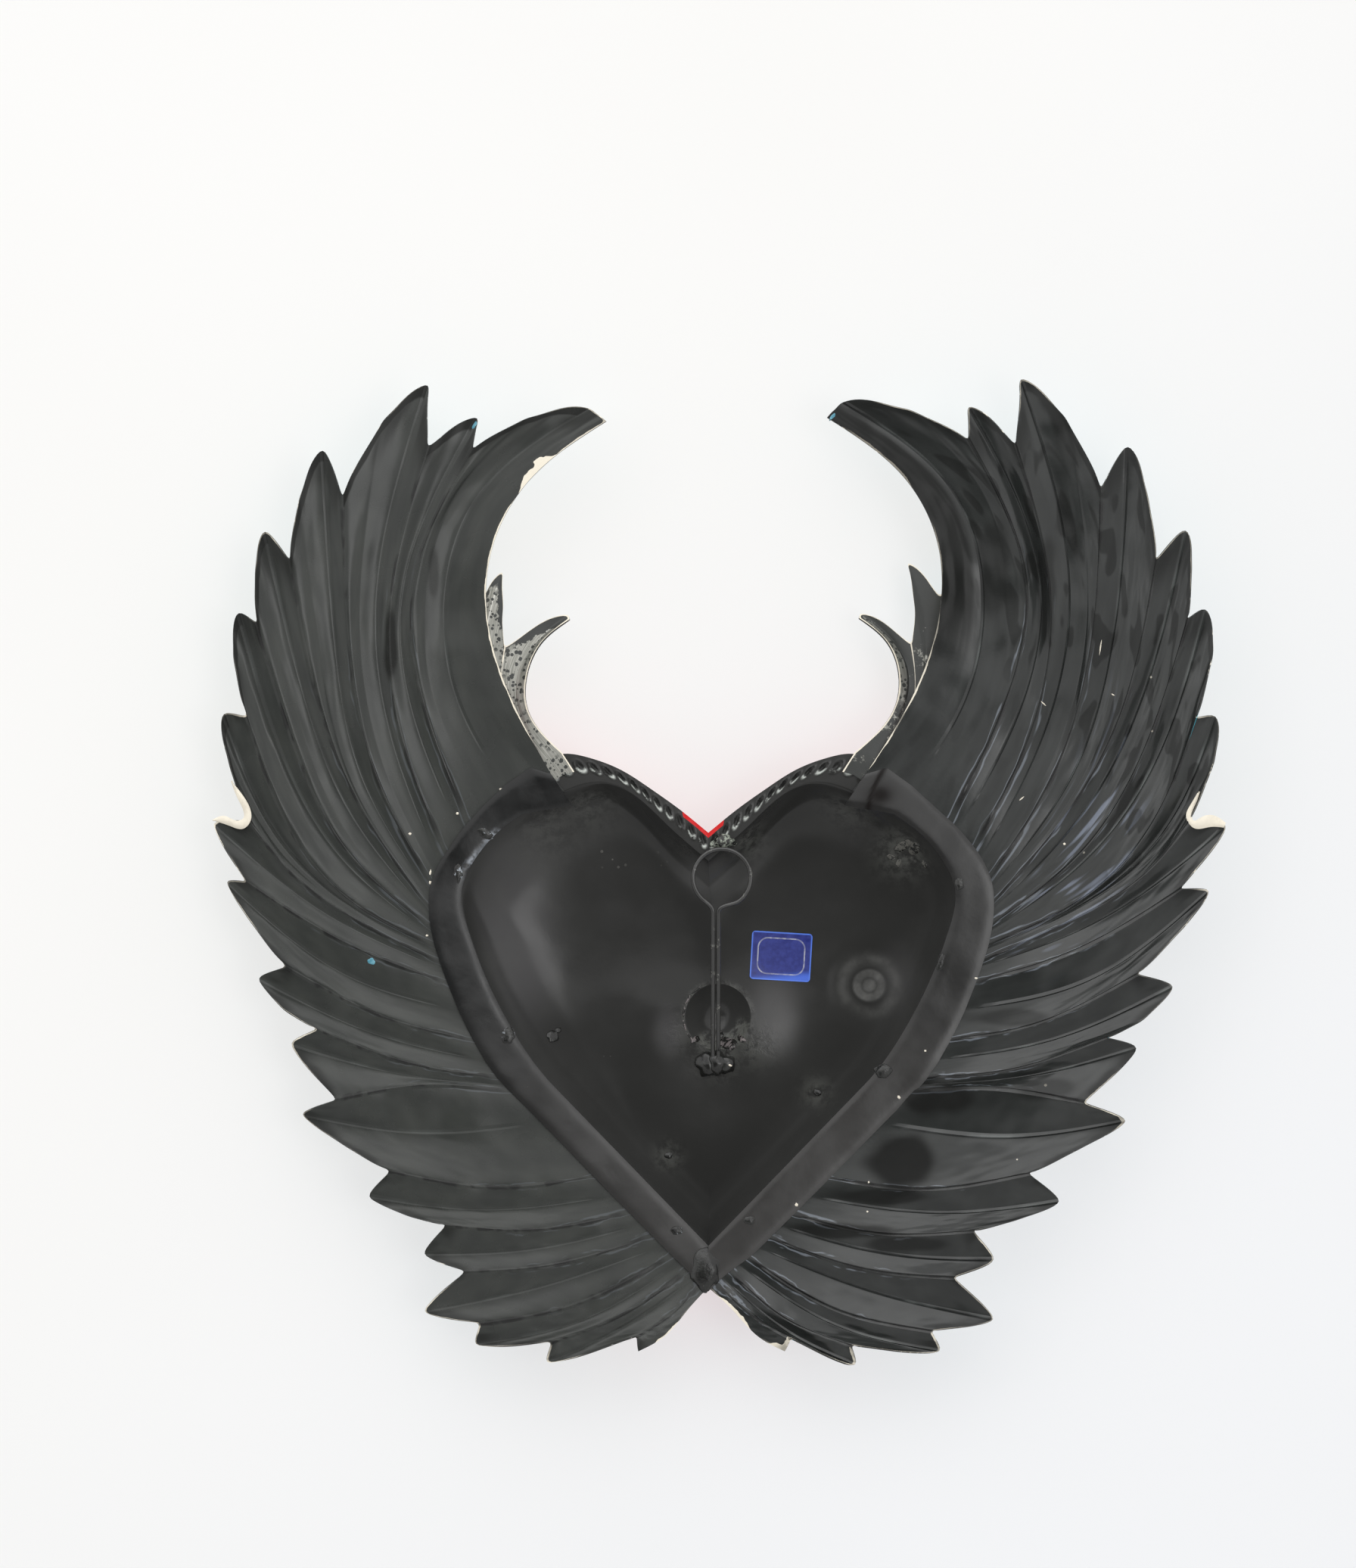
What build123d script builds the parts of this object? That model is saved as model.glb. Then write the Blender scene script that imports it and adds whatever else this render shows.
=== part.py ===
from build123d import *
import math
import os

os.makedirs("parts", exist_ok=True)

# Driving sizes, in millimetres. X runs along the wings, Z is up and the front faces -Y.
SPAN = 300.0
HEART_WIDTH = 155.0
DOME_DEPTH = 13.0
SHEET = 0.5
PLEAT = 3.2
COVERT_PLEAT = 2.0
WING_SWEEP = 3.0
COVERT_SWEEP = 8.0
WIRE = 1.3
RING_OUTER = 18.3
STRAND_GAP = 0.3
STRAND_TAIL = 2.4
WIRE_SEAT = 0.35
NECK_DROP = 1.8
RING_JOIN = 52.0
RIM_STANDOFF = 1.0
BOSS_WIDTH = 19.6
BOSS_DEPTH = 7.0
BOSS_LIP = 2.2
STICKER_WIDTH = 17.9
STICKER_HEIGHT = 14.3
STICKER_CORNER = 1.0
PAPER = 0.15
GLUE = 0.05
BEAD_PITCH = 4.4
BEAD_WIDTH = 2.2
BEAD_DEPTH = 0.8
BEAD_INSET = 0.4
SEAM_GAP = 0.3
SOLDER_GAP = 0.05

# The heart's middle line stands a little beside the ring, as on the handmade object.
HEART_AXIS = 4.0
STRAND_AXIS = 1.8

# Layers from front to back: rim, small wing root, large wing root, binding strip.
RIM_BACK = -RIM_STANDOFF
RIM_FRONT = RIM_BACK - SHEET
COVERT_ROOT = RIM_BACK
WING_ROOT = COVERT_ROOT + SHEET
STRIP_FRONT = WING_ROOT + SHEET
STRIP_BACK = STRIP_FRONT + SHEET
FLOOR_BACK = RIM_BACK - DOME_DEPTH
FLOOR_FRONT = FLOOR_BACK - SHEET

# Points below were taken at a span of 300 and a heart width of 155, so they scale with both.
WING_SCALE = SPAN / 300.0
HEART_SCALE = HEART_WIDTH / 155.0

# Half outlines of the heart, from the notch to where the straight side starts, then the lower tip.
OPENING = [(0, 5), (12, 15.5), (22, 24.5), (31, 28), (42, 25.5), (52, 20.5), (61.5, 14), (68.5, 6),
           (72.8, -4), (71, -15), (66.3, -28), (58, -44.5), (46, -61)]
OPENING_TIP = (0, -108.5)
RIM = [(0, 13.3), (8.1, 19.9), (17.2, 26.4), (25.9, 31.9), (35.4, 35.5), (44, 36.4), (52, 31.6),
       (60, 24.6), (67.8, 16), (74.2, 6.5), (77.5, -4), (76, -16), (71.3, -30), (62.5, -47), (50, -66)]
RIM_TIP = (0, -117.5)
STRIP_TIP = (0, -122)
STRIP_CUT = (40.2, 21.4)
DOME_CENTRE = (0, -30)
DOME_STEPS = [(1.0, 0.0), (0.975, 0.3), (0.92, 0.58), (0.82, 0.8), (0.67, 0.95), (0.48, 1.0)]

# One large wing as a row of fold lines: fold side, root, way points, then the end on each wing.
# Fold side -1 runs to a feather tip, +1 to the notch between feathers, others lie on the slope.
WING_FOLDS = [
    (0.2, (46.4, 30.6), [(56.5, 49.3), (65.6, 82.4), (63, 99.5), (53.4, 116.5)], (30.1, 134.6), (35, 135.7)),
    (-0.4, (52.6, 32.5), [(65, 50), (72, 82), (67, 106)], (32.4, 136.4), (37, 137.8)),
    (-1, (60, 27.2), [(73, 50), (77.8, 82), (69, 111)], (35.1, 138.4), (39.5, 140.2)),
    (0, (65.5, 22.1), [(80, 50), (83.5, 82), (75, 112)], (53.2, 135.6), (59, 138.1)),
    (1, (70.8, 16.2), [(83.5, 50), (87.5, 82)], (69.7, 126.1), (76.8, 128.8)),
    (-1, (73, 13.4), [(86, 45), (90.5, 80)], (67.6, 135.9), (76.3, 139.3)),
    (1, (77.2, 7.2), [(90.5, 42), (94, 78)], (82.8, 126.8), (90.6, 127.4)),
    (-1, (79.2, 4), [(93, 40), (98, 77)], (82.2, 145.7), (91.7, 147.5)),
    (0, (80.6, 1), [(96.5, 35), (103, 72)], (95.6, 135.2), (105, 136)),
    (1, (81.6, -2), [(98.5, 32), (105, 62)], (107.8, 112), (115.6, 114.5)),
    (-1, (82, -4.5), [(103, 32), (109.5, 64)], (113.6, 126.6), (123.6, 127.7)),
    (0, (82.1, -7), [(105, 28), (113.5, 60)], (120.5, 112), (129.4, 113)),
    (1, (82.1, -9), [(103, 22), (113, 46)], (123.2, 93.3), (131.7, 93.5)),
    (-1, (82, -11), [(107, 22), (118, 50)], (130.8, 102.7), (140.8, 103.1)),
    (0, (81.8, -13), [(109, 17), (120, 43)], (133.5, 91), (142.4, 92)),
    (1, (81.5, -15), [(108, 10), (120, 34)], (132.8, 74.8), (140.8, 75.9)),
    (-1, (81.1, -17), [(109, 7), (124, 32)], (138.6, 78.6), (146.6, 79.7)),
    (0, (80.7, -18.8), [(110, 3), (125.4, 27.4)], (140, 66), (148.8, 67)),
    (1, (80.3, -20.4), [(110, -3), (125, 18)], (135.7, 47.5), (143.1, 47.1)),
    (-1, (79.8, -22), [(110, -5), (128, 14)], (143.1, 48.7), (149.7, 48)),
    (0, (79.3, -23.5), [(109.5, -6.8), (128, 10)], (141.2, 34), (149.2, 35)),
    (1, (78.8, -25), [(107, -10.4), (123.5, 2.2)], (135.1, 17), (141, 16.3)),
    (-1, (78.2, -26.8), [(112, -11)], (146.2, 16.3), (153.1, 15.6)),
    (1, (76.6, -31), [(105, -20)], (136.2, -1.1), (138.8, -3.3)),
    (-1, (73.4, -39), [(106, -29)], (142.2, -0.9), (148, -3.6)),
    (0, (71.3, -43.4), [(100.5, -35)], (135.5, -12), (140.5, -14)),
    (1, (69, -47.8), [(94, -41.5)], (124.1, -26.1), (125.9, -28.3)),
    (-1, (65.6, -53.8), [(98, -46)], (133, -29.5), (137.5, -31.9)),
    (0, (63.8, -56.3), [(93.5, -50)], (125.5, -38.5), (128.5, -41.5)),
    (1, (62, -58.8), [(88, -54.5)], (115, -44.4), (116.5, -46.9)),
    (-1, (60, -61), [(92, -57.5)], (123.4, -48.7), (126.8, -50)),
    (1, (58, -63), [(84, -61)], (109.4, -65.4), (110.5, -66.3)),
    (-1, (49, -72), [(86, -75)], (120.1, -69.6), (123.6, -71.6)),
    (0, (41.2, -80), [(76, -83)], (107, -79), (109, -80)),
    (1, (33.5, -88), [(64, -91.2)], (93.5, -86.2), (93.9, -86.8)),
    (-1, (28, -93.6), [(66, -97.8)], (100.5, -94), (104, -95.5)),
    (0, (25.5, -96.2), [(59, -100.6)], (89, -99.3), (91, -100.6)),
    (1, (23, -98.7), [(51, -103.6)], (77, -102), (77.7, -103.6)),
    (-1, (19.6, -102.1), [(53, -109.6)], (84.2, -110.9), (84.6, -112.7)),
    (1, (16.4, -105.4), [(46, -114)], (71.4, -115.8), (72.1, -117.6)),
    (-1, (13.4, -108.4), [(50, -120.7)], (84.2, -127.9), (84.6, -130.3)),
    (1, (10.8, -111.1), [(40, -126)], (67.2, -131.2), (65.4, -133.3)),
    (-1, (8.4, -113.5), [(38, -130.6)], (69, -137.7), (68.7, -139.7)),
    (1, (6.2, -115.8), [(26, -129.2)], (46, -136.6), (41.9, -137.5)),
    (-1, (4.2, -117.8), [(26, -132.8)], (48, -143.1), (43.7, -144)),
    (1, (2.4, -119.6), [(12, -129.6)], (21, -134.8), (24.4, -135.4)),
    (0, (0.6, -121.4), [(6, -127.3), (13, -135.2)], (20.6, -139.5), (22.5, -139.5)),
]

# One small wing in the same form; its hidden feathers follow the large wing at about half size.
COVERT_FOLDS = [
    (0.2, (43.2, 37), [(53.4, 50), (53.6, 60), (49, 70)], (41, 76.4), (44.6, 76.8)),
    (-1, (46.8, 36), [(56.2, 52), (55.2, 63)], (41.4, 77.8), (45, 78.2)),
    (1, (50.8, 33.4), [(60.6, 50.5)], (60.4, 68), (60.2, 69)),
    (0, (52.6, 32.8), [(62.9, 57)], (60.6, 80), (61, 80.5)),
    (-1, (54.4, 32.2), [(64, 54), (65, 76)], (60.6, 90.8), (58.7, 93.4)),
    (1, (58.2, 29.2), [(68, 52)], (68, 80), (68.6, 83)),
    (-1, (62, 25.8), [(73, 52)], (76, 92), (76, 94)),
    (1, (65.8, 22.2), [(77, 44)], (82, 72), (82, 73)),
    (-1, (69.4, 18.2), [(82, 43)], (93, 80), (93, 81)),
    (1, (72.8, 14), [(86, 34)], (92, 58), (92, 58)),
    (-1, (76, 9.6), [(89, 31)], (103, 60), (103, 60)),
    (1, (78.6, 5), [(91, 20)], (99, 40), (99, 40)),
    (-1, (80.4, 1), [(93, 18)], (105, 38), (105, 38)),
    (1, (81.6, -3), [(93, 8)], (101, 22), (101, 22)),
    (0, (82, -7), [(93, 2)], (104, 12), (104, 12)),
]

# Solder: place on the heart's own grid, base radius and height.
TACKS_RIGHT = [(73.8, 1.6, 1.7, 0.9), (65.6, 13, 1.9, 0.8), (59, -46.5, 2.2, 1.0), (9.4, -104, 1.6, 0.8)]
TACKS_LEFT = [(74, -1.8, 1.5, 0.8), (68.5, -24.8, 1.6, 0.7), (51.5, -57, 2.4, 1.2), (12, -101, 1.6, 0.8)]
TIP_SOLDER = (0.8, -113.6, 4.4, 1.8)
STICKER_PLACE = (-21.6, -23.4)
STICKER_TILT = 3.0
BOSS_PLACE = (-2.9, -41.3)

# The wire's foot stands this far below the boss hole, between two lobes placed from the foot.
FOOT_DROP = 4.5
FOOT_LOBES = [(2.8, 0, 3.7, 2.9), (-3.4, -0.4, 3.5, 3.3)]
FOOT_Z = BOSS_PLACE[1] * HEART_SCALE - BOSS_WIDTH / 2 - FOOT_DROP

# The crust at the notch sits just above the ring and reaches over its wire.
RING_RADIUS = (RING_OUTER - WIRE) / 2
NOTCH_LUMP_RADIUS = 2.4
NOTCH_LUMP_SHIFT = -0.4
NOTCH_LUMP_COVER = 0.9

# Where strips and wing margins start and stop along the edge of the dome's opening.
STRIP_RUN = (0.29, 0.96)
COVERT_RUN = (0.2, 0.44)


def spot(side, point, y):
    """A point of the heart's grid, which starts at the heart's middle line."""
    return Vector(HEART_AXIS + side * point[0] * HEART_SCALE, y, point[1] * HEART_SCALE)


def heart_side(side, points, tip, y, share):
    """Curved and straight edge of one half of a heart outline, drawn in towards the dome's centre."""
    def drawn_in(point):
        x = DOME_CENTRE[0] + (point[0] - DOME_CENTRE[0]) * share
        z = DOME_CENTRE[1] + (point[1] - DOME_CENTRE[1]) * share
        return spot(side, (x, z), y)
    curve = [drawn_in(p) for p in points]
    end = drawn_in(tip)
    leave = (end - curve[-1]).normalized()
    start = (curve[1] - curve[0]).normalized()
    return [Edge.make_spline(curve, tangents=[start, leave]), Edge.make_line(curve[-1], end)]


def heart_wire(points, tip, y, share=1.0):
    return Wire(heart_side(1, points, tip, y, share) + heart_side(-1, points, tip, y, share))


def round_cap(radius, height):
    """Round lump with a flat base, rising along Z."""
    ball = (radius * radius + height * height) / (2 * height)
    rise = math.degrees(math.asin((ball - height) / ball))
    return Pos(0, 0, height - ball) * Sphere(ball, arc_size1=rise, arc_size2=90, align=None)


def solder_cap(middle, radius, height):
    """Lump of solder whose flat base faces the front."""
    return Pos(*middle) * Rot(-90, 0, 0) * round_cap(radius, height)


def bead_places():
    """Middle of each punched bead, in a row along the rim."""
    places = []
    for side in (1, -1):
        outer = Wire(heart_side(side, RIM, RIM_TIP, 0, 1.0))
        inner = Wire(heart_side(side, OPENING, OPENING_TIP, 0, 1.0))
        count = int(outer.length / BEAD_PITCH)
        for k in range(count):
            share = (k + 0.5) / count
            places.append((outer @ share) * (1 - BEAD_INSET) + (inner @ share) * BEAD_INSET)
    return places


def reach(fold, side):
    """Straight distance from a fold line's root to its end on one wing."""
    end = fold[3] if side > 0 else fold[4]
    return math.hypot(end[0] - fold[1][0], end[1] - fold[1][1])


def fold_line(fold, side, root_y, sweep, pleat, hurry):
    """Fold line from the root to the outer edge, bent away from the root plane.

    Hurry is how much longer the neighbours are; a short line runs ahead at first to keep level with them.
    """
    bend, root, ways, right_end, left_end = fold
    end = right_end if side > 0 else left_end
    start = spot(side, root, root_y)
    stop = Vector(HEART_AXIS + side * end[0] * WING_SCALE, root_y + sweep + bend * pleat / 2, end[1] * WING_SCALE)
    stretch = math.hypot(stop.X - start.X, stop.Z - start.Z) / reach(fold, side)
    points = [start]
    for step, way in enumerate(ways, 1):
        share = step / (len(ways) + 1)
        ease = share * (2 - share)
        x = way[0] - root[0] + (end[0] - right_end[0]) * ease
        z = way[1] - root[1] + (end[1] - right_end[1]) * ease
        y = sweep * share + bend * pleat / 2 * min(1, 1.5 * share)
        points.append(start + Vector(side * x * stretch, y, z * stretch))
    points.append(stop)
    line = Edge.make_spline(points)
    steps = [k / 8 for k in range(9)]
    paces = [1 - (1 - step) ** (1 / hurry) for step in steps]
    return Edge.make_spline([line @ step for step in steps], parameters=paces)


def pleated_sheet(folds, side, root_y, sweep, pleat, margin):
    """Folded tin sheet: a flat margin inside the roots and one ruled face between fold lines."""
    reaches = [reach(fold, side) for fold in folds]
    lines = []
    for k, fold in enumerate(folds):
        longest = max(reaches[max(0, k - 1):k + 2])
        lines.append(fold_line(fold, side, root_y, sweep, pleat, longest / reaches[k]))
    roots = [line @ 0 for line in lines]
    back = Vector(0, SHEET, 0)
    front = [Face.make_surface_from_curves(a, b) for a, b in zip(lines, lines[1:])]
    front.append(Face(Wire.make_polygon(roots + margin[::-1], close=True)))
    ends = [line @ 1 for line in lines]
    border = [lines[0], lines[-1]]
    border += [Edge.make_line(a, b) for a, b in zip(ends, ends[1:])]
    inner = [roots[0]] + margin + [roots[-1]]
    border += [Edge.make_line(a, b) for a, b in zip(inner, inner[1:])]
    walls = [Face.extrude(edge, back) for edge in border]
    behind = [face.moved(Location(back)) for face in front]
    return Solid(Shell(front + behind + walls))


def opening_points(side, y, run, count):
    """Evenly spaced points along a run of the dome's opening edge."""
    edge = Wire(heart_side(side, OPENING, OPENING_TIP, y, 1.0))
    first, last = run
    return [edge @ (first + (last - first) * k / (count - 1)) for k in range(count)]


def seam_point(side, z, y):
    return Vector(HEART_AXIS + side * SEAM_GAP / 2, y, z * HEART_SCALE)


def wing_margin(side):
    points = [spot(side, STRIP_CUT, WING_ROOT)] + opening_points(side, WING_ROOT, STRIP_RUN, 20)
    return points + [seam_point(side, OPENING_TIP[1], WING_ROOT), seam_point(side, STRIP_TIP[1], WING_ROOT)]


def covert_margin(side):
    return opening_points(side, COVERT_ROOT, COVERT_RUN, 7)


def binding_strip(side):
    """Flat strip between the dome's opening and the wing roots, cut square at the shoulder."""
    inner = opening_points(side, STRIP_FRONT, STRIP_RUN, 28)
    roots = [spot(side, fold[1], STRIP_FRONT) for fold in WING_FOLDS]
    seam = [seam_point(side, STRIP_TIP[1], STRIP_FRONT), seam_point(side, OPENING_TIP[1], STRIP_FRONT)]
    outer = roots + seam + [inner[-1]]
    edges = [Edge.make_line(a, b) for a, b in zip(outer, outer[1:])]
    cut = spot(side, STRIP_CUT, STRIP_FRONT)
    edges.append(Edge.make_spline(inner[::-1]))
    edges.append(Edge.make_line(inner[0], cut))
    edges.append(Edge.make_line(cut, roots[0]))
    return Solid.extrude(Face(Wire(edges)), Vector(0, SHEET, 0))


def heart_shell():
    """Domed heart with a flat rim and a round hole under the boss."""
    rim = Solid.extrude(Face(heart_wire(RIM, RIM_TIP, RIM_FRONT)), Vector(0, SHEET, 0))
    half_opening = 0.47 * HEART_WIDTH
    thick = 1 + 1.2 * SHEET / half_opening
    outside = [heart_wire(OPENING, OPENING_TIP, RIM_FRONT - d * DOME_DEPTH, s * thick) for s, d in DOME_STEPS]
    inside = [heart_wire(OPENING, OPENING_TIP, RIM_BACK - d * DOME_DEPTH, s) for s, d in DOME_STEPS]
    dome = Solid.make_loft(outside)
    hollow = Solid.make_loft(inside)
    hole = Pos(*spot(1, BOSS_PLACE, FLOOR_BACK)) * Rot(90, 0, 0) * Cylinder(BOSS_WIDTH / 2, 6 * SHEET)
    bump = Rot(90, 0, 0) * round_cap(BEAD_WIDTH / 2 + 0.3 * SHEET, BEAD_DEPTH)
    dimple = Rot(90, 0, 0) * round_cap(BEAD_WIDTH / 2, BEAD_DEPTH)
    bumps = [Pos(p.X, RIM_FRONT, p.Z) * bump for p in bead_places()]
    dimples = [Pos(p.X, RIM_BACK, p.Z) * dimple for p in bead_places()]
    return rim + dome + bumps - hollow - hole - dimples


def centre_boss():
    """Round cup with a flat lip that lies on the front of the heart."""
    radius = BOSS_WIDTH / 2
    with BuildPart() as cup:
        with BuildSketch(Plane.XZ):
            with BuildLine():
                Polyline((radius + BOSS_LIP, 0), (radius, 0))
                Spline((radius, 0), (radius * 0.72, BOSS_DEPTH * 0.75), (0, BOSS_DEPTH), tangents=[(0, 1), (-1, 0)])
                Polyline((0, BOSS_DEPTH), (0, BOSS_DEPTH + SHEET))
                Spline((0, BOSS_DEPTH + SHEET), (radius * 0.72 + SHEET * 0.7, BOSS_DEPTH * 0.75 + SHEET * 0.7),
                       (radius + SHEET, SHEET), tangents=[(1, 0), (0, -1)])
                Polyline((radius + SHEET, SHEET), (radius + BOSS_LIP, SHEET), (radius + BOSS_LIP, 0))
            make_face()
        revolve(axis=Axis.Z)
    return Pos(*spot(1, BOSS_PLACE, FLOOR_FRONT)) * Rot(90, 0, 0) * cup.part


def hanger_wire(diameter):
    """Ring and two strands bent from one wire; the strands lean down to the floor of the heart."""
    foot_y = FLOOR_BACK + WIRE / 2 + WIRE_SEAT
    foot_z = FOOT_Z - STRAND_TAIL
    neck_z = -RING_RADIUS - NECK_DROP
    half_pitch = (WIRE + STRAND_GAP) / 2
    across = RING_RADIUS * math.cos(math.radians(RING_JOIN))
    down = RING_RADIUS * math.sin(math.radians(RING_JOIN))
    left_foot = Vector(STRAND_AXIS - half_pitch, foot_y, foot_z)
    left_neck = Vector(STRAND_AXIS - half_pitch, 0, neck_z)
    right_foot = Vector(STRAND_AXIS + half_pitch, foot_y, foot_z)
    right_neck = Vector(STRAND_AXIS + half_pitch, 0, neck_z)
    up = (left_neck - left_foot).normalized()
    left_in = Vector(-across, 0, -down)
    right_in = Vector(across, 0, -down)
    left_way = Vector(-down, 0, across).normalized()
    right_way = Vector(-down, 0, -across).normalized()
    path = Wire([
        Edge.make_line(left_foot, left_neck),
        Edge.make_spline([left_neck, left_in], tangents=[up, left_way]),
        Edge.make_three_point_arc(left_in, Vector(0, 0, RING_RADIUS), right_in),
        Edge.make_spline([right_in, right_neck], tangents=[right_way, -up]),
        Edge.make_line(right_neck, right_foot),
    ])
    section = Plane(origin=left_foot, z_dir=up) * Circle(diameter / 2)
    return sweep(section, path=path)


def sticker():
    plate = Box(STICKER_WIDTH, PAPER, STICKER_HEIGHT)
    plate = fillet(plate.edges().filter_by(Axis.Y), STICKER_CORNER)
    return Pos(*spot(1, STICKER_PLACE, FLOOR_BACK + GLUE + PAPER / 2)) * Rot(0, STICKER_TILT, 0) * plate


def strip_lump(side, place):
    x, z, radius, height = place
    return solder_cap(spot(side, (x, z), STRIP_BACK), radius, height)


def foot_solder(wire_room):
    lobes = [solder_cap(Vector(STRAND_AXIS + x, FLOOR_BACK, FOOT_Z + z), r, h) for x, z, r, h in FOOT_LOBES]
    return lobes[0] + lobes[1] - wire_room


def notch_solder(wire_room):
    middle = Vector(NOTCH_LUMP_SHIFT, RIM_BACK, RING_RADIUS + NOTCH_LUMP_RADIUS)
    return solder_cap(middle, NOTCH_LUMP_RADIUS, RIM_STANDOFF + NOTCH_LUMP_COVER) - wire_room


wire_room = hanger_wire(WIRE + 2 * SOLDER_GAP)

export_step(heart_shell(), "parts/heart_shell.step")
export_step(centre_boss(), "parts/centre_boss.step")
export_step(hanger_wire(WIRE), "parts/hanger_wire.step")
export_step(foot_solder(wire_room), "parts/hanger_foot_solder.step")
export_step(notch_solder(wire_room), "parts/notch_solder.step")
export_step(strip_lump(1, TIP_SOLDER), "parts/tip_solder.step")
export_step(sticker(), "parts/sticker.step")
for name, side, places in (("right", 1, TACKS_RIGHT), ("left", -1, TACKS_LEFT)):
    wing = pleated_sheet(WING_FOLDS, side, WING_ROOT, WING_SWEEP, PLEAT, wing_margin(side))
    covert = pleated_sheet(COVERT_FOLDS, side, COVERT_ROOT, -COVERT_SWEEP, COVERT_PLEAT, covert_margin(side))
    export_step(wing, f"parts/wing_{name}.step")
    export_step(covert, f"parts/covert_{name}.step")
    export_step(binding_strip(side), f"parts/binding_strip_{name}.step")
    tacks = Compound(children=[strip_lump(side, place) for place in places])
    export_step(tacks, f"parts/strip_tacks_{name}.step")
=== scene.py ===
import math
from functools import reduce

import bpy
import numpy as np
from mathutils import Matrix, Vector, noise
from mathutils.bvhtree import BVHTree


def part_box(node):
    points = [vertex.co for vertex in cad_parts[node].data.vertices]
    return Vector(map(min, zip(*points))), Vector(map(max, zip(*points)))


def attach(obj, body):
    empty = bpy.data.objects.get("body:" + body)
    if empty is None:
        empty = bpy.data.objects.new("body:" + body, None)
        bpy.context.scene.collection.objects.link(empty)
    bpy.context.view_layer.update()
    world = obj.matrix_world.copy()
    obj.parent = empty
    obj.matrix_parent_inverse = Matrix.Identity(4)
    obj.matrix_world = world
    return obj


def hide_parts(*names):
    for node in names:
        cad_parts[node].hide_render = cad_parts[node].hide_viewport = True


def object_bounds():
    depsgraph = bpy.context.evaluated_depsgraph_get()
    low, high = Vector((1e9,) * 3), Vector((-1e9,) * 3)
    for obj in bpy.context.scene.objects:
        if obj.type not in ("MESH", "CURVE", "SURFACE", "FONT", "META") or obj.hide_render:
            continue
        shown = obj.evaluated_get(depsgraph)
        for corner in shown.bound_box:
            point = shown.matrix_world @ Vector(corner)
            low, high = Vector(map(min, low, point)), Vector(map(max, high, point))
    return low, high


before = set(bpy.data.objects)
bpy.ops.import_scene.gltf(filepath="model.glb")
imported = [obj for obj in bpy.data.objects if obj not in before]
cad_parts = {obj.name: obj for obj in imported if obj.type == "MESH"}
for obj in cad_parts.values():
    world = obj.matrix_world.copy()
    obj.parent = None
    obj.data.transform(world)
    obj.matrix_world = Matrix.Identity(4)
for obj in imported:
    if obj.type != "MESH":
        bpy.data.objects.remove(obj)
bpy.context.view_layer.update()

# Sizes in millimetres, as in the solids. X runs along the wings, Z is up and the back faces +Y.
MM = 0.001
SHEET = 0.5
HEART_AXIS = 4.0
RIM_BACK = -1.0
WING_ROOT = -0.5
STRIP_BACK = 0.5
DOME_DEPTH = 13.0
FLOOR_BACK = RIM_BACK - DOME_DEPTH
PLEAT = 3.2
COVERT_PLEAT = 2.0
WING_SWEEP = 3.0
COVERT_SWEEP = -8.0
BOSS_RADIUS = 9.8
BOSS_DEPTH = 7.0
BOSS_LIP = 2.2
BOSS_PLACE = (1.1, -41.3)
BEAD_PITCH = 4.4
BEAD_DEPTH = 0.8
BEAD_INSET = 0.4
BEAD_HALF = (1.1, 1.6)
BEAD_RIDGE = 0.22
BOSS_GAP = 0.02
HOLE_X, HOLE_Z = BOSS_PLACE
LIP_SHEET = 0.35
LIP_CROWN = 0.45
STRIP_SHEET = 0.44
STRIP_LOWEST = 0.06
STRIP_SEAM = 0.02
DROP_SEAT = 0.05

# Label: width and height, corner radius, lean in degrees, thickness, and its frame line with round corners.
LABEL_SIZE = (17.9, 14.3)
LABEL_CORNER = 1.0
LABEL_TILT = -3.4
LABEL_SHEET = 0.08
FRAME_HALF = (4.0, 2.4)
FRAME_CORNER = 2.9

# Points along half the heart, down its rim and dome, round the boss, and along a strip and its fine outline.
HEART_COUNT = 560
RIM_ROWS = 22
DOME_ROWS = 100
BOSS_AROUND = 96
STRIP_COUNT = 260
FINE_COUNT = 900

# Shares: swell of the feather ends, sheet inside the wing roots, and part of the opening beside a strip.
FULL_TIP = 0.075
LEAN_TIP = 0.03
ROOT_MARGIN = (0.085, 0.04)
STRIP_RUN = (0.29, 0.985)

# The photograph: picture size, size of a pixel at the object, and the pixel of the ring's middle.
PICTURE = (1792, 2072)
PIXEL = 0.2232
RING_PIXEL = (954, 1160)
CAMERA_DISTANCE = 3000.0

# Half outlines of the heart on its own grid, from the notch to the straight side, then the lower tip.
OPENING = [(0, 5), (12, 15.5), (22, 24.5), (31, 28), (42, 25.5), (52, 20.5), (61.5, 14), (68.5, 6),
           (72.8, -4), (71, -15), (66.3, -28), (58, -44.5), (46, -61)]
OPENING_TIP = (0, -108.5)
RIM = [(0, 13.3), (8.1, 19.9), (17.2, 26.4), (25.9, 31.9), (35.4, 35.5), (44, 36.4), (52, 31.6),
       (60, 24.6), (67.8, 16), (74.2, 6.5), (77.5, -4), (76, -16), (71.3, -30), (62.5, -47), (50, -66)]
RIM_TIP = (0, -117.5)
STRIP_TIP = (0, -122)
STRIP_CUT = (40.2, 21.4)
DOME_CENTRE = (0, -30)

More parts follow.
